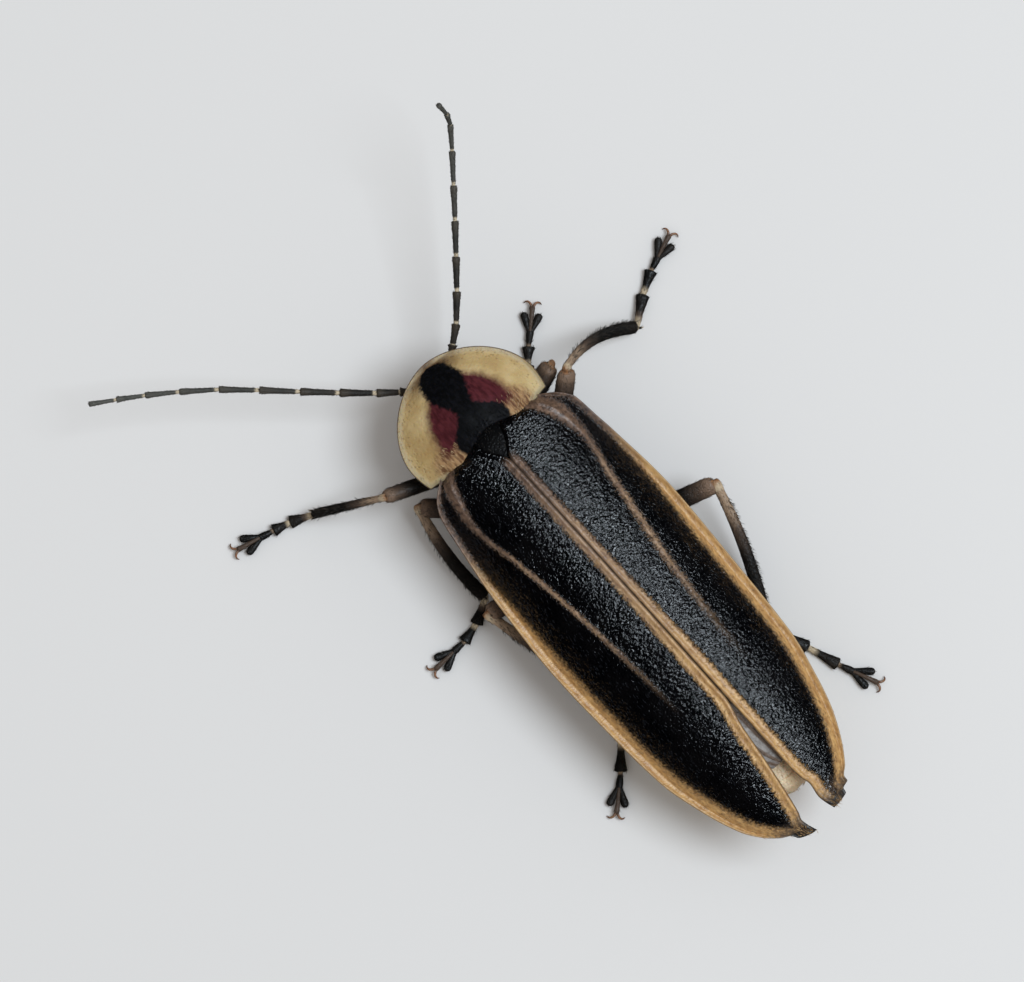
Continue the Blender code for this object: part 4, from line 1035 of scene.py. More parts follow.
def case_skin(side):
    y, x, height, wall, seam, rim, rib_gap = case_sections(side)
    sign = SIDES[side]
    top = np.stack([sign * x, y, height], axis=-1)
    rim_edge = top[:, -1:] + np.array([sign * 0.02, 0.0, -0.03])
    under = np.stack([sign * x, y, height - wall], axis=-1)[:, ::-3]
    seam_edge = (top[:, :1] + under[:, -1:]) / 2 + np.array([-sign * 0.012, 0.0, 0.01])
    grid = np.concatenate([top, rim_edge, under, seam_edge], axis=1)

    def all_round(values):
        return np.concatenate([values, values[:, -1:], values[:, ::-3], values[:, :1]], axis=1)

    above = np.zeros(grid.shape[:2])
    above[:, :top.shape[1]] = 1.0
    seam, rim, rib_gap = all_round(seam), all_round(rim), all_round(rib_gap)
    edge_fade = np.clip(np.minimum(seam, rim) / 0.05, 0.0, 1.0)
    pale = 1.3 * bump_line(seam - 0.2, 0.12) + 1.1 * bump_line(rim - 0.32, 0.16)
    pale += 0.8 * bump_line(rib_gap, 0.09)
    outward = bump_line(seam - 0.12, 0.15) - bump_line(rim - 0.2, 0.2)
    lie = np.stack([sign * (0.1 + 0.9 * outward), np.ones(above.shape), np.full(above.shape, -0.05)], axis=-1)
    skin = Skin("elytron_" + side, ("coat", "seam", "rim", "rib", "length", "grain"))
    skin.add(grid, lie=lie, coat=above * (0.2 + 0.8 * edge_fade) * (0.35 + pale), seam=seam, rim=rim,
             rib=rib_gap * RIB_MARK[side], length=grid[..., 1], grain=above * edge_fade)
    return skin.mesh()


# %% [markdown]
# The surface is finely wrinkled and granular, like coarse leather. The tree moves every point of the plate
# along its normal by a cell texture and a broader noise, strongest where the grain mark is 1, so the
# relief is real. Only the finest grain is left to the bump of the finish.

# %% Wing cases: grain tree
def grain_tree():
    tree, nodes, given, result = new_tree("leather grain", [
        ("Geometry", "Geometry"), ("Grains Per Mm", "Float"), ("Grain Mm", "Float"),
        ("Waves Per Mm", "Float"), ("Wave Mm", "Float"), ("Seed", "Float"), ("Finish", "Material")])
    where = nodes.vector("SCALE", nodes.out("GeometryNodeInputPosition"), scale=1 / MM)
    moved = nodes.vector("ADD", where, nodes.out("ShaderNodeCombineXYZ", {"X": given["Seed"]}))
    stretched = nodes.vector("MULTIPLY", moved, (0.62, 1.15, 0.8))
    cell = nodes.out("ShaderNodeTexVoronoi", {"Vector": stretched, "Scale": given["Grains Per Mm"],
                                             "Smoothness": 0.35, "Randomness": 1.0}, feature="SMOOTH_F1")
    knob = nodes.minus(0.42, cell)
    wave = nodes.minus(nodes.out("ShaderNodeTexNoise", {
        "Vector": moved, "Scale": given["Waves Per Mm"], "Detail": 3.0}), 0.5)
    lift = nodes.plus(nodes.times(knob, given["Grain Mm"]), nodes.times(wave, given["Wave Mm"]))
    lift = nodes.times(nodes.times(lift, nodes.named("grain")), MM)
    offset = nodes.vector("SCALE", nodes.out("GeometryNodeInputNormal"), scale=lift)
    rough = nodes.out("GeometryNodeSetPosition", {"Geometry": given["Geometry"], "Offset": offset})
    close_tree(nodes, rough, given["Finish"], result)
    return tree


# %% [markdown]
# Which colour belongs where is the same for the plate and for the hairs on it, so the zones are a shader
# group that reads the marks and puts out six masks: the seam's bead, the rib, the amber rim, the rear half,
# the brown shoulder and the worn tip.

# %% Wing cases: zones
def case_zones_group():
    group, nodes, _, result = new_group("wing case zones", {}, ("Bead", "Rib", "Rim", "Rear", "Shoulder",
                                                                "Tip"))
    fray = fray_of(nodes, object_mm(nodes), 14.0, 5.0, 0.32, 0.65)
    length = mark(nodes, "length")
    rear = nodes.between(length, 3.0, 9.0)
    bead_width = nodes.rising(0.18, rear, 0.08)
    seam = nodes.minus(nodes.plus(mark(nodes, "seam"), fray), bead_width)
    bead = nodes.times(nodes.between(seam, 0.06, -0.05), nodes.between(length, 0.6, 1.0))
    rib_width = nodes.rising(0.04, nodes.between(length, 1.9, 0.2), 0.15)
    rib = nodes.minus(nodes.plus(nodes.calc("ABSOLUTE", mark(nodes, "rib")), fray), rib_width)
    rib = nodes.times(nodes.between(rib, 0.08, -0.04), nodes.between(length, 8.4, 4.5))
    rim = nodes.plus(mark(nodes, "rim"), fray)
    rim_width = nodes.rising(0.09, nodes.between(length, 1.4, 5.5), 0.23)
    rim = nodes.between(nodes.minus(rim, rim_width), 0.10, -0.06)
    masks = {"Bead": bead, "Rib": rib, "Rim": rim, "Rear": rear, "Shoulder": nodes.between(length, 3.4, 1.3),
             "Tip": nodes.between(nodes.rising(length, fray, 3.0), 11.75, 12.25)}
    for label, socket in masks.items():
        nodes.tree.links.new(socket, result[label])
    return group


CASE_ZONES = case_zones_group()


def case_colour(nodes, black, tan, brown, amber):
    """Colour of plate or hair: black, with tan bead and rib, brown shoulder and amber rim."""
    zones = nodes.node("ShaderNodeGroup", node_tree=CASE_ZONES).outputs
    front = blend(nodes, zones["Shoulder"], tan, brown)
    bead = blend(nodes, zones["Rear"], front, amber)
    colour = blend(nodes, zones["Rib"], black, front)
    rim = blend(nodes, zones["Shoulder"], amber, brown)
    colour = blend(nodes, zones["Rim"], colour, rim)
    return blend(nodes, zones["Bead"], colour, bead), zones


# %% Wing cases: finish
def case_finish():
    nodes = Finish("case_leather", ior=1.5, specular_ior_level=1.2)
    height, mottle = grain(nodes, 15.0, 9.0, 0.5)
    wrinkles = noise(nodes, nodes.places((0.55, 1.2, 0.8)), 15.0, 2.0, 0.55)
    streak = nodes.between(noise(nodes, nodes.places((1.0, 0.3, 1.0)), 12.0, 5.0), 0.25, 0.75)
    black = blend(nodes, mottle, tint(0.001, 0.001, 0.0015), tint(0.003, 0.0026, 0.003))
    tan = blend(nodes, streak, tint(0.19, 0.10, 0.055), tint(0.42, 0.26, 0.145))
    cloud = nodes.between(noise(nodes, nodes.places(), 8.0, 4.0), 0.28, 0.72)
    brown = blend(nodes, cloud, tint(0.075, 0.038, 0.022), tint(0.23, 0.13, 0.078))
    amber = blend(nodes, streak, tint(0.38, 0.18, 0.05), tint(0.66, 0.385, 0.13))
    colour, zones = case_colour(nodes, black, tan, brown, amber)
    seam, rim = mark(nodes, "seam"), mark(nodes, "rim")
    # The bead's very inner edge is darkened: painted shade of the gap where the two wing cases meet.
    joint = nodes.times(nodes.between(seam, 0.03, 0.01), zones["Bead"])
    colour = blend(nodes, nodes.times(joint, 0.7), colour, tint(0.05, 0.03, 0.018))
    pale = nodes.times(nodes.between(rim, 0.05, 0.02), nodes.minus(1.0, zones["Shoulder"]))
    colour = blend(nodes, nodes.times(pale, 0.5), colour, tint(0.50, 0.31, 0.13))
    worn = blend(nodes, mottle, tint(0.035, 0.026, 0.021), tint(0.12, 0.08, 0.054))
    colour = blend(nodes, nodes.times(zones["Tip"], 0.85), colour, worn)
    torn = nodes.between(mark(nodes, "length"), 12.18, 12.34)
    colour = blend(nodes, nodes.times(torn, 0.9), colour, tint(0.014, 0.012, 0.011))
    relief = nodes.plus(nodes.times(wrinkles, 1.6), nodes.times(height, 0.25))
    pale_zones = nodes.calc("MAXIMUM", nodes.calc("MAXIMUM", zones["Rim"], zones["Bead"]), zones["Rib"])
    calm = nodes.minus(1.0, nodes.times(pale_zones, 0.6))
    normal = bump(nodes, nodes.times(relief, calm), 0.040)
    return nodes.surface(colour, 0.15, nodes.minus(1.05, calm), 0.5, normal=normal)


def case_hair_finish():
    """Short hairs: dark with a cold gleam on the black, gold on the pale zones."""
    nodes = Finish("case_hair", specular_ior_level=0.3)
    streak = nodes.between(noise(nodes, nodes.places(), 11.0, 3.0), 0.3, 0.7)
    grey = blend(nodes, streak, tint(0.001, 0.001, 0.0015), tint(0.012, 0.0135, 0.019))
    gold = blend(nodes, streak, tint(0.26, 0.14, 0.06), tint(0.62, 0.40, 0.19))
    brown = blend(nodes, streak, tint(0.045, 0.026, 0.018), tint(0.22, 0.135, 0.078))
    colour, _ = case_colour(nodes, grey, gold, brown, gold)
    return nodes.surface(colour, 0.30, streak, 0.15)


CASE_LEATHER = case_finish()
CASE_HAIR = case_hair_finish()
GRAIN_TREE = grain_tree()
for seed, side in enumerate(SIDES):
    plate = grown("elytron_" + side, case_skin(side), GRAIN_TREE, {
        "Grains Per Mm": 8.0, "Grain Mm": 0.015, "Waves Per Mm": 1.2, "Wave Mm": 0.04, "Seed": 10.0 * seed,
        "Finish": CASE_LEATHER})
    fit(show("wing_case_" + side, plate), "wing_case", "elytron_" + side)
    fit(coat("wing_case_" + side + "_hair", plate, CASE_HAIR, density=170, length=0.12, thickness=0.012,
             lift=0.14, scatter=0.25, seed=20 + seed), "wing_case")


# %% [markdown]
# ## Flight wings
# Under the cases lie the flight wings, folded lengthwise. They are smoky skin with brown veins, and only a
# crumpled strip shows where the cases part. Each is a thin sheet with lengthwise folds; its fine crumple
# comes from the same grain tree with other sizes. The left wing lies over the right one.

# %% Flight wings
WING_WIDTH = [(1.2, 0.75), (2.5, 1.33), (7.5, 1.34), (9.5, 1.10), (10.3, 0.72), (10.75, 0.30)]
WING_TOP_Z = [(1.2, 2.85), (4.0, 3.12), (7.0, 3.22), (9.0, 3.16), (10.2, 2.98), (10.75, 2.78)]
WING_VEINS = (0.16, 0.42, 0.70)
WING_WALL = 0.02
WING_START, WING_END = 1.2, 10.75
WING_ROWS, WING_COLUMNS = 240, 64
WING_INNER = {"left": -0.12, "right": 0.02}
WING_LIFT = {"left": 0.035, "right": -0.02}


def wing_skin(side):
    y = np.linspace(WING_START, WING_END, WING_ROWS)[:, None]
    share = even(WING_COLUMNS)[None]
    inner = WING_INNER[side]
    width = eased(WING_WIDTH, y)
    x = inner + (width - inner) * share
    fold = 0.016 * np.sin(2 * np.pi * (3.5 * share + 0.12 * np.sin(1.3 * y))) * np.clip(share * 6, 0.3, 1)
    top = eased(WING_TOP_Z, y) - 0.26 * (x / 1.45) ** 2 + fold + WING_LIFT[side]
    vein = np.min([np.abs(share - place) for place in WING_VEINS], axis=0) * width
    top = top + 0.02 * bump_line(vein, 0.035)
    upper = np.stack([SIDES[side] * x, y + 0 * x, top], axis=-1)
    lower = (upper - np.array([0.0, 0.0, WING_WALL]))[:, ::-1]
    veins = np.concatenate([vein + 0 * y, (vein + 0 * y)[:, ::-1]], axis=1)
    skin = Skin("hindwing_" + side, ("grain", "vein"))
    skin.add(np.concatenate([upper, lower], axis=1), grain=1.0, vein=veins)
    return skin.mesh()


def wing_finish():
    nodes = Finish("wing_membrane", ior=1.45, specular_ior_level=0.5)
    height, mottle = grain(nodes, 9.0, 14.0, 0.4)
    # The smoky grey is partly the membrane's own colour and partly painted light: it is paler than the
    # membrane, so the strip in the wing cases' shade still reads grey.
    smoke_with_painted_light = blend(nodes, mottle, tint(0.20, 0.175, 0.16), tint(0.54, 0.50, 0.47))
    colour = blend(nodes, nodes.between(mark(nodes, "vein"), 0.05, 0.02), smoke_with_painted_light, tint(0.17, 0.12, 0.09))
    return nodes.surface(colour, 0.34, mottle, 0.2, normal=bump(nodes, height, 0.03))


WING_MEMBRANE = wing_finish()
for seed, side in enumerate(SIDES):
    sheet = grown("hindwing_" + side, wing_skin(side), GRAIN_TREE, {
        "Grains Per Mm": 4.0, "Grain Mm": 0.05, "Waves Per Mm": 3.2, "Wave Mm": 0.12, "Seed": 3.0 + seed,
        "Finish": WING_MEMBRANE})
    fit(show("flight_wing_" + side, sheet), "wing_membrane", "hindwing_" + side)


# %% [markdown]
# ## Body
# One skin runs from the neck to the tail, so that no seam shows. The trunk is dark and keeled below, where
# the legs stand; the belly is made of rings that overlap like a telescope's. The two rings of the lantern
# are waxy yellow underneath, and the last rings, which peep out between the wing tips, are cream. The
# sections follow a rule: a low arch above, a deeper one below.

# %% Body: skin
TRUNK_START, TRUNK_END = -0.75, 11.53
TRUNK_HALF = [(-0.75, 0.50), (-0.45, 0.80), (-0.12, 1.10), (0.15, 1.10), (0.3, 1.22), (0.8, 1.50),
              (1.6, 1.64), (3.0, 1.69), (3.9, 1.68), (4.1, 1.84), (5.0, 2.0), (6.3, 2.04), (7.7, 1.92),
              (9.0, 1.66), (10.0, 1.32), (10.9, 0.86), (11.35, 0.52), (11.53, 0.22)]
TRUNK_TOP = [(-0.75, 2.08), (-0.3, 2.50), (0.1, 2.42), (0.3, 2.24), (4.1, 2.22), (6.0, 2.24), (8.0, 2.16),
             (9.5, 2.16), (10.5, 2.52), (11.1, 2.44), (11.4, 2.2), (11.53, 1.85)]
TRUNK_BOTTOM = [(-0.75, 1.50), (-0.25, 1.35), (3.8, 1.35), (4.1, 1.44), (5.0, 1.2), (6.2, 1.0), (8.5, 0.94),
                (10.0, 1.02), (11.3, 1.2), (11.53, 1.32)]
TRUNK_SIDE_SHARE = [(-0.75, 0.55), (0.3, 0.73), (3.8, 0.73), (4.2, 0.58), (11.53, 0.58)]
RINGS = (4.0, 5.0, 5.85, 6.75, 7.8, 8.8, 9.8, 10.6, 11.12)
RING_ROWS = np.array([-0.02, 0.0, 0.015, 0.04])      # extra rows round each ring's edge
TRUNK_SEAMS = (0.2, 1.55, 2.95)
TRUNK_ROWS, TRUNK_SIDES = 330, 88
SEAM_DEPTH = 0.05          # of the seams of the trunk and of the step at each ring
FOLD_DEPTH, KEEL_DEPTH = 0.05, 0.05


def trunk_skin():
    rows = [edge + RING_ROWS for edge in RINGS]
    y = np.unique(np.concatenate([np.linspace(TRUNK_START, TRUNK_END, TRUNK_ROWS)] + rows))
    half, top, bottom = eased(TRUNK_HALF, y), eased(TRUNK_TOP, y), eased(TRUNK_BOTTOM, y)
    side_z = bottom + eased(TRUNK_SIDE_SHARE, y) * (top - bottom)
    belly = eased([(3.8, 0.0), (4.3, 1.0)], y)
    lift = np.zeros(len(y))
    for start, end in zip(RINGS, RINGS[1:] + (11.6,)):
        inside = (y >= start) & (y < end)
        past = y[inside] - start
        lift[inside] = -SEAM_DEPTH * np.exp(-past / 0.05) + 0.02 * past / (end - start)
    for seam in TRUNK_SEAMS:
        lift -= SEAM_DEPTH * bump_line(y - seam, 0.05)
    turn = 2 * np.pi * np.arange(TRUNK_SIDES) / TRUNK_SIDES
    across, upward = np.cos(turn)[None], np.sin(turn)[None]
    above = upward >= 0
    power = np.where(above, (0.6 + 0.15 * belly)[:, None], (1.3 - 0.5 * belly)[:, None])
    x = (half + lift)[:, None] * np.sign(across) * np.abs(across) ** power
    z = np.where(above, side_z[:, None] + (top - side_z + lift)[:, None] * np.abs(upward) ** 0.8,
                 side_z[:, None] - (side_z - bottom + lift)[:, None] * np.abs(upward) ** 0.9)
    fold = bump_line(upward - 0.12, 0.07) * belly[:, None] * FOLD_DEPTH
    x = x * (1 - fold)
    keel = bump_line(x, 0.10) * (upward < 0) * (1 - belly)[:, None] * bump_line((y - 2.2)[:, None], 1.6)
    z = z + KEEL_DEPTH * keel
    grid = np.stack([x, y[:, None] + 0 * x, z], axis=-1)
    ring_edge = np.min([np.abs(y - edge) for edge in RINGS], axis=0)
    skin = Skin("body", ("coat", "length", "under", "ring"))
    skin.add(grid, coat=np.where(above, 0.25, 1.0), length=y[:, None], under=upward, ring=ring_edge[:, None])
    return skin.mesh()


# %% Body: finish
def body_finish():
    nodes = Finish("body_horn", subsurface_weight=0.12, subsurface_scale=0.2 * MM)
    height, mottle = grain(nodes, 13.0, 8.0, 0.7)
    length, under = mark(nodes, "length"), mark(nodes, "under")
    dark = blend(nodes, mottle, tint(0.012, 0.009, 0.008), tint(0.065, 0.038, 0.024))
    brown = blend(nodes, mottle, tint(0.035, 0.020, 0.013), tint(0.12, 0.07, 0.042))
    colour = blend(nodes, nodes.between(length, 3.8, 4.4), dark, brown)
    edge = nodes.times(nodes.between(mark(nodes, "ring"), 0.09, 0.02), 0.6)
    colour = blend(nodes, edge, colour, tint(0.34, 0.22, 0.12))
    wax = blend(nodes, mottle, tint(0.62, 0.52, 0.26), tint(0.80, 0.72, 0.44))
    lantern = nodes.times(nodes.between(under, 0.10, -0.10), nodes.between(length, 7.72, 7.88))
    colour = blend(nodes, lantern, colour, wax)
    # Cream of the last rings is partly their own colour and partly painted light: lighter than their cream,
    # so the tip in the wing cases' shade still reads bright.
    cream = blend(nodes, mottle, tint(0.74, 0.54, 0.33), tint(0.88, 0.72, 0.50))
    colour = blend(nodes, nodes.between(length, 9.7, 10.0), colour, cream)
    fine = nodes.times(height, nodes.minus(1.0, nodes.times(lantern, 0.7)))
    return nodes.surface(colour, 0.36, mottle, 0.12, normal=bump(nodes, fine, 0.02))


body = show("body", trunk_skin(), body_finish())
fit(body, "body_shell", "prothorax", "thorax", "abdomen", "lantern", "abdomen_tip")

# %% [markdown]
# The scutellum is the small black triangle between the roots of the wing cases. It is a short tube of
# square-shouldered rings that narrows to the rear, with the same grained horn as the wing cases.

# %% Scutellum
SCUTELLUM_HALF = [(-0.24, 0.2), (-0.22, 0.46), (0.1, 0.42), (0.4, 0.27), (0.6, 0.14), (0.78, 0.03),
                  (0.79, 0.01)]
SCUTELLUM_TOP = [(-0.24, 2.9), (-0.22, 2.95), (0.0, 3.10), (0.3, 3.24), (0.79, 3.34)]


def scutellum_skin():
    y = np.concatenate([[-0.24], np.linspace(-0.22, 0.78, 60), [0.79]])
    half = eased(SCUTELLUM_HALF, y)
    way = np.stack([0.03 + 0 * y, y, eased(SCUTELLUM_TOP, y) - 0.14], axis=1)
    skin = Skin("scutellum", ("coat",))
    skin.add(ring_tube(way, half, np.where(half > 0.1, 0.14, 0.08), UP, 48, roundness=3.2), coat=1.0)
    return skin.mesh()


SCUTELLUM_HORN = horn_finish("scutellum_horn", tint(0.001, 0.001, 0.0015), tint(0.004, 0.0035, 0.0035),
                             pits=16.0, wrinkles=9.0, depth=0.02, rough=0.4, specular_ior_level=0.3)
scutellum = fit(show("scutellum_plate", scutellum_skin(), SCUTELLUM_HORN), "body_shell", "scutellum")

# %% [markdown]
# ## Legs
# A leg has a cone-shaped hip, a small ring, a flat thigh, a slimmer shin with two spurs, and a foot of five
# joints. The fourth joint of the foot splits into two soft lobes, and the fifth rises between them with two
# claws. All of it is one skin of tubes that sit in one another. A mark counts the joints along the leg, so
# one colour ramp can paint the black thigh, its pale end, the orange knee and the cream foot rings.

# %% Legs: measures
# Hip, knee and ankle, then the ends of the first and the second foot joint and the tip of the foot.
LEGS = {
    "fore_left": ((0.50, 0.26, 0.88), (2.86, -0.66, 1.72), (4.36, -1.60, 0.34), (4.90, -1.84), (5.35, -1.97),
                  (6.51, -2.25)),
    "fore_right": ((-0.50, 0.26, 0.85), (-2.44, -0.35, 1.52), (-1.66, -0.42, 0.34), (-2.15, -0.80),
                   (-2.46, -1.12), (-3.35, -1.93)),
    "mid_left": ((0.55, 1.80, 0.85), (2.33, 0.09, 1.08), (2.56, 2.82, 0.34), (3.15, 3.15), (3.67, 3.28),
                 (4.85, 3.32)),
    "mid_right": ((-0.55, 1.80, 0.85), (-2.62, 0.04, 2.00), (-4.80, 0.33, 0.34), (-5.48, -0.17),
                  (-6.04, -0.49), (-7.14, -0.91)),
    "hind_left": ((0.62, 3.62, 0.85), (2.86, 3.21, 1.32), (1.80, 6.80, 0.34), (2.40, 7.69), (2.96, 8.30),
                  (3.87, 9.12)),
    "hind_right": ((-0.62, 3.62, 0.85), (-3.49, 4.58, 1.50), (-2.16, 8.06, 0.34), (-2.60, 9.14),
                   (-2.87, 9.96), (-3.37, 11.14)),
}
HIP_ROOT = {"fore": (0.42, -0.02, 1.62), "mid": (0.42, 1.55, 1.62), "hind": (0.50, 3.30, 1.62)}
THIGH_BOW = {"mid_right": (0.0, 0.0, -0.14), "hind_right": (0.0, 0.0, -0.10)}
SHIN_BOW = {"mid_right": (0.0, -0.30, 0.05), "hind_right": (-0.16, 0.0, 0.05), "mid_left": (0.14, 0.0, 0.0),
            "hind_left": (0.06, 0.0, 0.0)}
THIGH_WIDE = [(0.0, 0.13), (0.08, 0.19), (0.4, 0.26), (0.75, 0.25), (0.92, 0.24), (0.97, 0.21),
              (0.99, 0.16), (1.0, 0.11)]
THIGH_SWELL = {"fore_right": 1.3, "mid_right": 1.12}
SHIN_WIDE = [(0.0, 0.10), (0.03, 0.14), (0.07, 0.135), (0.1, 0.12), (0.3, 0.14), (0.7, 0.16),
             (0.93, 0.17), (0.985, 0.15), (1.0, 0.09)]
HIP_WIDE = [(0, 0.30), (0.4, 0.30), (0.75, 0.27), (0.93, 0.20), (1, 0.1)]
COLLAR_WIDE = [(0, 0.08), (0.25, 0.155), (0.7, 0.165), (1, 0.1)]
LEG_SIDES, CLAW_SIDES = 28, 14
THIGH_FLAT, SHIN_FLAT = 0.76, 0.72      # thickness for the width
HIP_REACH, THIGH_START = 0.44, 0.55     # along the thigh from the hip, in millimetres
COLLAR_START, COLLAR_LENGTH = 0.38, 0.26
TOE_Z = 0.115
LEG_FLOOR, CLAW_FLOOR = 0.012, 0.006    # no point of a leg or of a claw lies lower
STRAIGHT = (0.0, 0.0, 0.0)


def bowed(start, end, bow, count):
    """A way from start to end whose middle is moved by the bow."""
    share = even(count)[:, None]
    return start + (end - start) * share + np.asarray(bow) * 4 * share * (1 - share)


# %% Legs: hip, thigh and shin
def leg_parts(name, points):
    """Tubes from hip to shin as (way, half widths, half depths, upright, first and last joint count)."""
    hip, knee, ankle = [np.array(point, float) for point in points[:3]]
    toes = [np.array((x, y, TOE_Z)) for x, y in points[3:]]
    pair, side = name.split("_")
    root = np.array(HIP_ROOT[pair]) * (SIDES[side], 1, 1)
    thigh_lead, shin_lead = unit(knee - hip), unit(ankle - knee)
    plane = unit(np.cross(thigh_lead, shin_lead))
    hip_way = smooth_way([root, hip, hip + thigh_lead * HIP_REACH], 40)
    hip_size = eased(HIP_WIDE, even(40))
    parts = [(hip_way, hip_size, hip_size * 0.9, plane, 0.0, 0.8)]
    collar = even(16)
    collar_way = hip + thigh_lead * (COLLAR_START + COLLAR_LENGTH * collar[:, None])
    collar_size = eased(COLLAR_WIDE, collar)
    parts.append((collar_way, collar_size, collar_size, plane, 0.85, 0.98))
    share = np.concatenate([np.linspace(0, 0.9, 60), np.linspace(0.91, 1.0, 14)])
    way = bowed(hip + thigh_lead * THIGH_START, knee, THIGH_BOW.get(name, STRAIGHT), 200)
    wide = eased(THIGH_WIDE, share) * THIGH_SWELL.get(name, 1.0)
    parts.append((at_shares(way, even(200), share), wide, wide * THIGH_FLAT, plane, 1.0, 2.0))
    share = np.concatenate([np.linspace(0, 0.12, 16), np.linspace(0.13, 0.9, 60), np.linspace(0.91, 1, 14)])
    way = bowed(knee - shin_lead * 0.10, ankle, SHIN_BOW.get(name, STRAIGHT), 200)
    wide = eased(SHIN_WIDE, share)
    parts.append((at_shares(way, even(200), share), wide, wide * SHIN_FLAT, plane, 2.0, 3.0))
    return parts, plane, ankle, shin_lead, toes


# %% Legs: foot and claws
FOOT_JOINT = [(0.0, 0.40), (0.1, 0.48), (0.45, 0.62), (0.82, 0.95), (0.95, 1.08), (0.985, 1.0), (1.0, 0.5)]
STEM_SHAPE = [(0.0, 0.35), (0.3, 0.5), (0.8, 0.75), (1.0, 0.7)]
LOBE_SHAPE = [(0.0, 0.45), (0.3, 0.64), (0.65, 0.92), (0.84, 1.0), (0.93, 0.84), (0.98, 0.5), (1.0, 0.12)]
LAST_JOINT = [(0, 0.03), (0.35, 0.042), (0.8, 0.062), (0.94, 0.072), (1, 0.04)]
CLAW_LINE = [(0.0, 0.02, 0.13), (0.08, 0.06, 0.135), (0.13, 0.12, 0.11), (0.13, 0.18, 0.08),
             (0.09, 0.225, 0.04)]
CLAW_SIZE = [(0, 0.045), (0.4, 0.038), (0.8, 0.022), (1, 0.008)]
SPUR_SIZE = [(0, 0.03), (0.5, 0.022), (1, 0.005)]
STEM_REACH, LOBE_REACH = 0.34, 0.76     # shares of the way from the second joint's end to the tip
LOBE_SPLAY = 0.40


def foot_parts(ankle, toes):
    """Joints and lobes of a foot, as in leg_parts, and its claws as (way, half widths, half depths)."""
    first_end, second_end, claw_tip = toes
    ahead = unit(claw_tip - second_end)
    aside = np.array([-ahead[1], ahead[0], 0.0])
    reach = np.linalg.norm(claw_tip - second_end)
    heel = np.array([ankle[0], ankle[1], 0.24])
    stations = [heel, first_end, second_end]
    parts = []
    ring = even(30)
    for k, (start, end, size) in enumerate(zip(stations, stations[1:], (0.155, 0.15))):
        lead = unit(end - start)
        wide = size * eased(FOOT_JOINT, ring)
        way = bowed(start - lead * 0.05, end + lead * 0.03, STRAIGHT, 30)
        parts.append((way, wide, np.minimum(wide * 0.8, 0.105), UP, 3.0 + k, 3.98 + k))
    fork = second_end + ahead * STEM_REACH * reach
    wide = 0.125 * eased(STEM_SHAPE, even(24))
    way = bowed(second_end - ahead * 0.05, fork, STRAIGHT, 24)
    parts.append((way, wide, np.minimum(wide, 0.085), UP, 5.0, 6.0))
    for side in (-1, 1):
        splay = unit(ahead + aside * LOBE_SPLAY * side)
        tip = fork + splay * (LOBE_REACH - STEM_REACH) * reach + aside * 0.03 * side
        way = smooth_way([fork - ahead * 0.14 + aside * 0.02 * side, fork + aside * 0.035 * side, tip], 34)
        wide = 0.098 * eased(LOBE_SHAPE, even(34))
        parts.append((way, wide, np.minimum(wide * 0.85, 0.07), UP, 6.0, 6.98))
    last_end = second_end + ahead * 0.87 * reach + (0, 0, 0.03)
    wide = eased(LAST_JOINT, ring)
    way = bowed(fork - ahead * 0.1 + (0, 0, 0.03), last_end, (0, 0, 0.04), 30)
    parts.append((way, wide, wide * 0.9, UP, 7.0, 7.98))
    claws = []
    for side in (-1, 1):
        base = last_end * (1, 1, 0) - ahead * 0.02
        line = [base + ahead * step + aside * side * out + np.array([0, 0, z]) for step, out, z in CLAW_LINE]
        size = eased(CLAW_SIZE, ring)
        claws.append((smooth_way(line, 30), size * 0.8, size))
    return parts, claws


def spur_parts(ankle, shin_lead, plane):
    """Two short spines at the end of the shin."""
    sizes = eased(SPUR_SIZE, even(10))
    parts = []
    for side in (-1, 1):
        tip = ankle + plane * 0.13 * side + shin_lead * 0.13 + (0, 0, 0.02)
        way = bowed(ankle + plane * 0.09 * side, tip, STRAIGHT, 10)
        parts.append((way, sizes, sizes, plane, 2.96, 3.0))
    return parts


# %% Legs: one skin from hip to foot
def leg_skins(name, points):
    parts, plane, ankle, shin_lead, toes = leg_parts(name, points)
    toe_parts, claws = foot_parts(ankle, toes)
    parts += spur_parts(ankle, shin_lead, plane) + toe_parts
    skin = Skin("leg_" + name, ("coat", "along", "fringe"))
    outer = unit(np.cross(plane, shin_lead))
    for k, (way, wide, deep, upright, first, last) in enumerate(parts):
        grid = ring_tube(way, wide, deep, upright, LEG_SIDES)
        grid[..., 2] = np.maximum(grid[..., 2], LEG_FLOOR)
        row, column = divmod(k, 4)
        patch = (0.02 + column / 4, 0.02 + row / 4, column / 4 + 0.22, row / 4 + 0.23)
        lead = unit(np.gradient(way, axis=0))[:, None]
        count = np.linspace(first, last, len(way))[:, None]
        facing = unit(grid - way[:, None]) @ outer
        fringe = np.where((count > 2.2) & (count < 2.97), np.clip(-facing - 0.2, 0, 1), 0.0)
        thin = 0.25 if first < 1.0 else 1.0
        coat_mark = np.where(grid[..., 2] > 0.06, thin, 0.0)
        skin.add(grid, patch=patch, lie=lead, coat=coat_mark, along=count, fringe=fringe)
    claw_skin = Skin("claws_" + name, ("along",))
    for way, wide, deep in claws:
        grid = ring_tube(way, wide, deep, UP, CLAW_SIDES)
        grid[..., 2] = np.maximum(grid[..., 2], CLAW_FLOOR)
        claw_skin.add(grid, along=even(len(way))[:, None])
    return skin.mesh(), claw_skin.mesh()


# %% [markdown]
# The ramp's places are the joint counts over eight: thigh from 1 to 2, shin from 2 to 3, and the joints of
# the foot after that. The colours follow the animal: black thigh with a grey-brown end, orange knee, shin
# tan above and black below, black foot with a cream ring at the start of each joint.

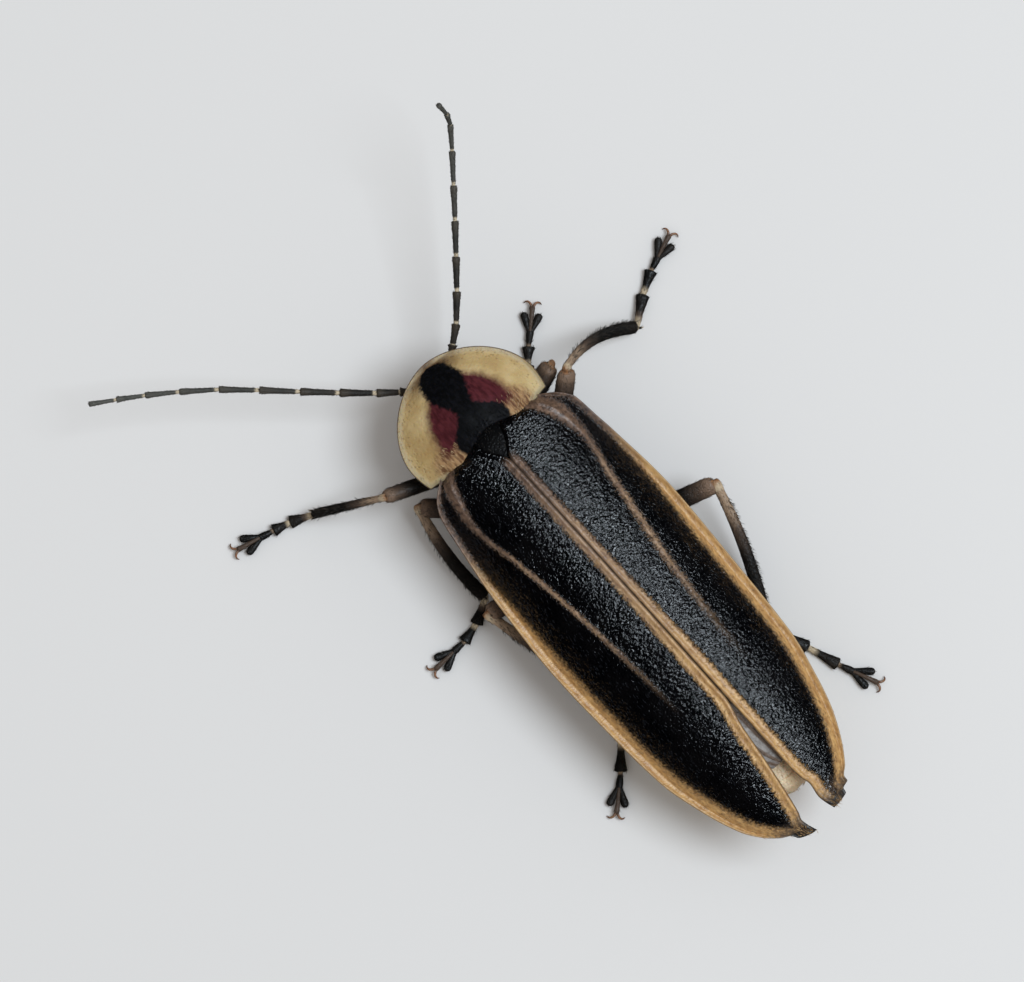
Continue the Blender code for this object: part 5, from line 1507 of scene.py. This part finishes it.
# %% Legs: finish
LAST_COUNT = 8.0
LEG_BANDS = [(0.0, "dark"), (1.0, "dark"), (1.62, "black"), (1.76, "umber"), (1.85, "fawn"), (1.97, "fawn"),
             (2.0, "orange"), (2.07, "cream"), (2.12, "tan"), (2.24, "tan"), (2.38, "umber"),
             (2.54, "black"), (2.99, "black"), (3.0, "cream"), (3.22, "cream"), (3.38, "umber"),
             (3.55, "black"), (3.99, "black"), (4.0, "cream"), (4.22, "cream"), (4.40, "black"),
             (4.99, "black"), (5.0, "cream"), (5.16, "tan"), (5.34, "black"), (6.95, "black"),
             (7.0, "umber"), (7.98, "umber")]
LEG_COLOURS = {"dark": tint(0.020, 0.012, 0.009), "black": tint(0.0065, 0.006, 0.0055),
               "umber": tint(0.085, 0.056, 0.040), "fawn": tint(0.20, 0.13, 0.088),
               "tan": tint(0.34, 0.235, 0.155), "orange": tint(0.26, 0.12, 0.05),
               "cream": tint(0.54, 0.43, 0.29)}


def leg_finish():
    nodes = Finish("leg_horn", ior=1.5, specular_ior_level=0.3)
    height, mottle = grain(nodes, 22.0, 12.0, 0.8)
    count = nodes.plus(mark(nodes, "along"), fray_of(nodes, nodes.places(), 8.0, 4.0, 0.10))
    bands = ramp(nodes, nodes.calc("DIVIDE", count, LAST_COUNT),
                 [(place / LAST_COUNT, LEG_COLOURS[name]) for place, name in LEG_BANDS])
    colour = blend(nodes, nodes.times(mottle, 0.2), bands, tint(0.05, 0.034, 0.024))
    return nodes.surface(colour, 0.34, mottle, 0.14, normal=bump(nodes, height, 0.012))


def claw_finish():
    """Amber horn that darkens to its point."""
    nodes = Finish("claw_horn", subsurface_weight=0.2, subsurface_scale=0.1 * MM, ior=1.52)
    height, _ = grain(nodes, 40.0, 20.0, 0.3)
    colour = ramp(nodes, mark(nodes, "along"), [
        (0.0, tint(0.10, 0.055, 0.035)), (0.45, tint(0.28, 0.15, 0.085)), (1.0, tint(0.07, 0.025, 0.012))])
    return nodes.surface(colour, 0.2, height, 0.1, normal=bump(nodes, height, 0.004))


LEG_HORN = leg_finish()
CLAW_HORN = claw_finish()
legs = {}
for name, points in LEGS.items():
    leg_mesh, claw_mesh = leg_skins(name, points)
    legs[name] = leg_mesh
    solids = ["leg_" + name + "_" + part for part in ("coxa", "femur", "tibia", "tarsus")]
    fit(show("leg_" + name, leg_mesh, LEG_HORN), "leg", *solids)
    fit(show("claws_" + name, claw_mesh, CLAW_HORN), "foot")


# %% [markdown]
# ## The rest of the coat
# The wing cases already have their hairs. The shield wears gold ones near its hind corners, and the body
# has the same gold hairs, thickest below. Scutellum, legs and feelers have short dark bristles, and on the
# outer edge of each shin these stand out as a fringe. One finish serves all the dark hair and one the gold.

# %% Other hairs
def hair_finish(name, dark, light):
    nodes = Finish(name, specular_ior_level=0.5)
    streak = nodes.between(noise(nodes, nodes.places(), 9.0, 3.0), 0.3, 0.7)
    return nodes.surface(blend(nodes, streak, dark, light), 0.34, streak, 0.12)


GOLD_HAIR = hair_finish("gold_hair", tint(0.30, 0.18, 0.07), tint(0.70, 0.52, 0.28))
DARK_HAIR = hair_finish("dark_hair", tint(0.012, 0.010, 0.008), tint(0.07, 0.055, 0.042))
fit(coat("neck_shield_hair", shield.data, GOLD_HAIR, density=110, length=0.12, thickness=0.013,
         lift=0.16, scatter=0.25, seed=31), "neck_shield")
fit(coat("body_hair", body.data, GOLD_HAIR, density=60, length=0.16, thickness=0.014,
         lift=0.25, seed=32), "body_shell")
fit(coat("scutellum_hair", scutellum.data, DARK_HAIR, density=50, length=0.10, thickness=0.012,
         lift=0.25, seed=33), "body_shell")
for seed, side in enumerate(SIDES):
    fit(coat("antenna_" + side + "_hair", feelers[side], DARK_HAIR, density=420, length=0.055,
             thickness=0.009, lift=0.55, seed=40 + seed), "feeler")
for seed, (name, mesh) in enumerate(legs.items()):
    fit(coat("leg_" + name + "_hair", mesh, DARK_HAIR, density=120, length=0.09, thickness=0.010,
             lift=0.5, seed=50 + seed), "leg")
    fit(coat("leg_" + name + "_fringe", mesh, DARK_HAIR, density=330, length=0.13, thickness=0.013,
             lift=1.3, seed=60 + seed, where="fringe"), "leg")
bpy.data.objects.remove(HAIR)

# %% [markdown]
# ## Floor, light and camera
# The firefly stands on a plain pale floor. One wide, soft, cool lamp hangs to its right and towards the
# tail, as a window would stand, and an even room light fills the rest. Room light and floor are left out of
# mirror reflections, so that black horn stays black. The camera looks down from 150 millimetres, five
# degrees off the vertical, turned so that the head points to the upper left. Its axes were measured.

# %% Floor and light
def floor_finish():
    nodes = Finish("studio_floor", specular_ior_level=0.3)
    cloud = noise(nodes, nodes.places(), 0.02, 2.0)
    colour = blend(nodes, cloud, tint(0.70, 0.675, 0.655), tint(0.74, 0.715, 0.695))
    return nodes.surface(colour, 0.5, cloud, 0.1)


def soft_light(name, place, size, power, colour):
    """A round lamp that shines at the origin."""
    lamp = bpy.data.lights.new(name, "AREA")
    lamp.shape = "DISK"
    lamp.size = size
    lamp.energy = power
    lamp.color = colour
    holder = show(name, lamp)
    holder.location = place
    holder.rotation_euler = (-Vector(place)).to_track_quat("-Z", "Y").to_euler()


def room_light(strength, colour):
    """Gives the scene an even room light, left out of mirror reflections so that black horn stays black."""
    world = bpy.data.worlds.new("studio")
    world.use_nodes = True
    background = world.node_tree.nodes["Background"]
    background.inputs["Color"].default_value = colour
    background.inputs["Strength"].default_value = strength
    bpy.context.scene.world = world
    world.cycles_visibility.glossy = False


FLOOR_HALF = 0.4
LAMP_PLACE = (-0.10, 0.075, 0.275)
LAMP_SIZE, LAMP_POWER = 0.165, 0.65
LAMP_COLOUR = (0.82, 0.915, 1.0)
ROOM_POWER = 0.50
floor_mesh = bpy.data.meshes.new("floor")
corners = [(x * FLOOR_HALF, y * FLOOR_HALF, 0.0) for x, y in ((-1, -1), (1, -1), (1, 1), (-1, 1))]
floor_mesh.from_pydata(corners, [], [(0, 1, 2, 3)])
floor = show("floor", floor_mesh, floor_finish())
floor.visible_glossy = False
floor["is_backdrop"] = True
soft_light("window_light", LAMP_PLACE, LAMP_SIZE, LAMP_POWER, LAMP_COLOUR)
room_light(ROOM_POWER, tint(1.0, 0.985, 0.965))
bpy.context.scene.view_settings.view_transform = "Standard"

# %% Camera
CAMERA_PLACE = (12.1245, 7.1942, 151.5428)
CAMERA_RIGHT = (-0.74096, 0.67080, 0.03181)
CAMERA_DOWN = (0.66701, 0.74062, -0.08114)
CAMERA_BACK = (0.07799, 0.03890, 0.99619)
CAMERA_LENS = 213.4
lens = bpy.data.cameras.new("camera")
lens.lens = CAMERA_LENS
lens.sensor_width = 36.0
lens.clip_start = 0.001
lens.clip_end = 10.0
camera = show("camera", lens)
camera.matrix_world = Matrix([[CAMERA_RIGHT[k], -CAMERA_DOWN[k], CAMERA_BACK[k],
                               CAMERA_PLACE[k] * MM + HOME[k]] for k in range(3)] + [[0, 0, 0, 1]])
bpy.context.scene.camera = camera

# %% [markdown]
# ## Sizes
# The box of the dressed model is printed next to the box of the solids. The dressed
# model has to stay in the box of the solids.

# %% Sizes
dressed_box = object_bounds()
boxes = {"cad": [list(corner) for corner in cad_box], "visual": [list(corner) for corner in dressed_box]}
for label, corner_pair in boxes.items():
    print(label, [[round(1000 * side, 2) for side in corner] for corner in corner_pair])
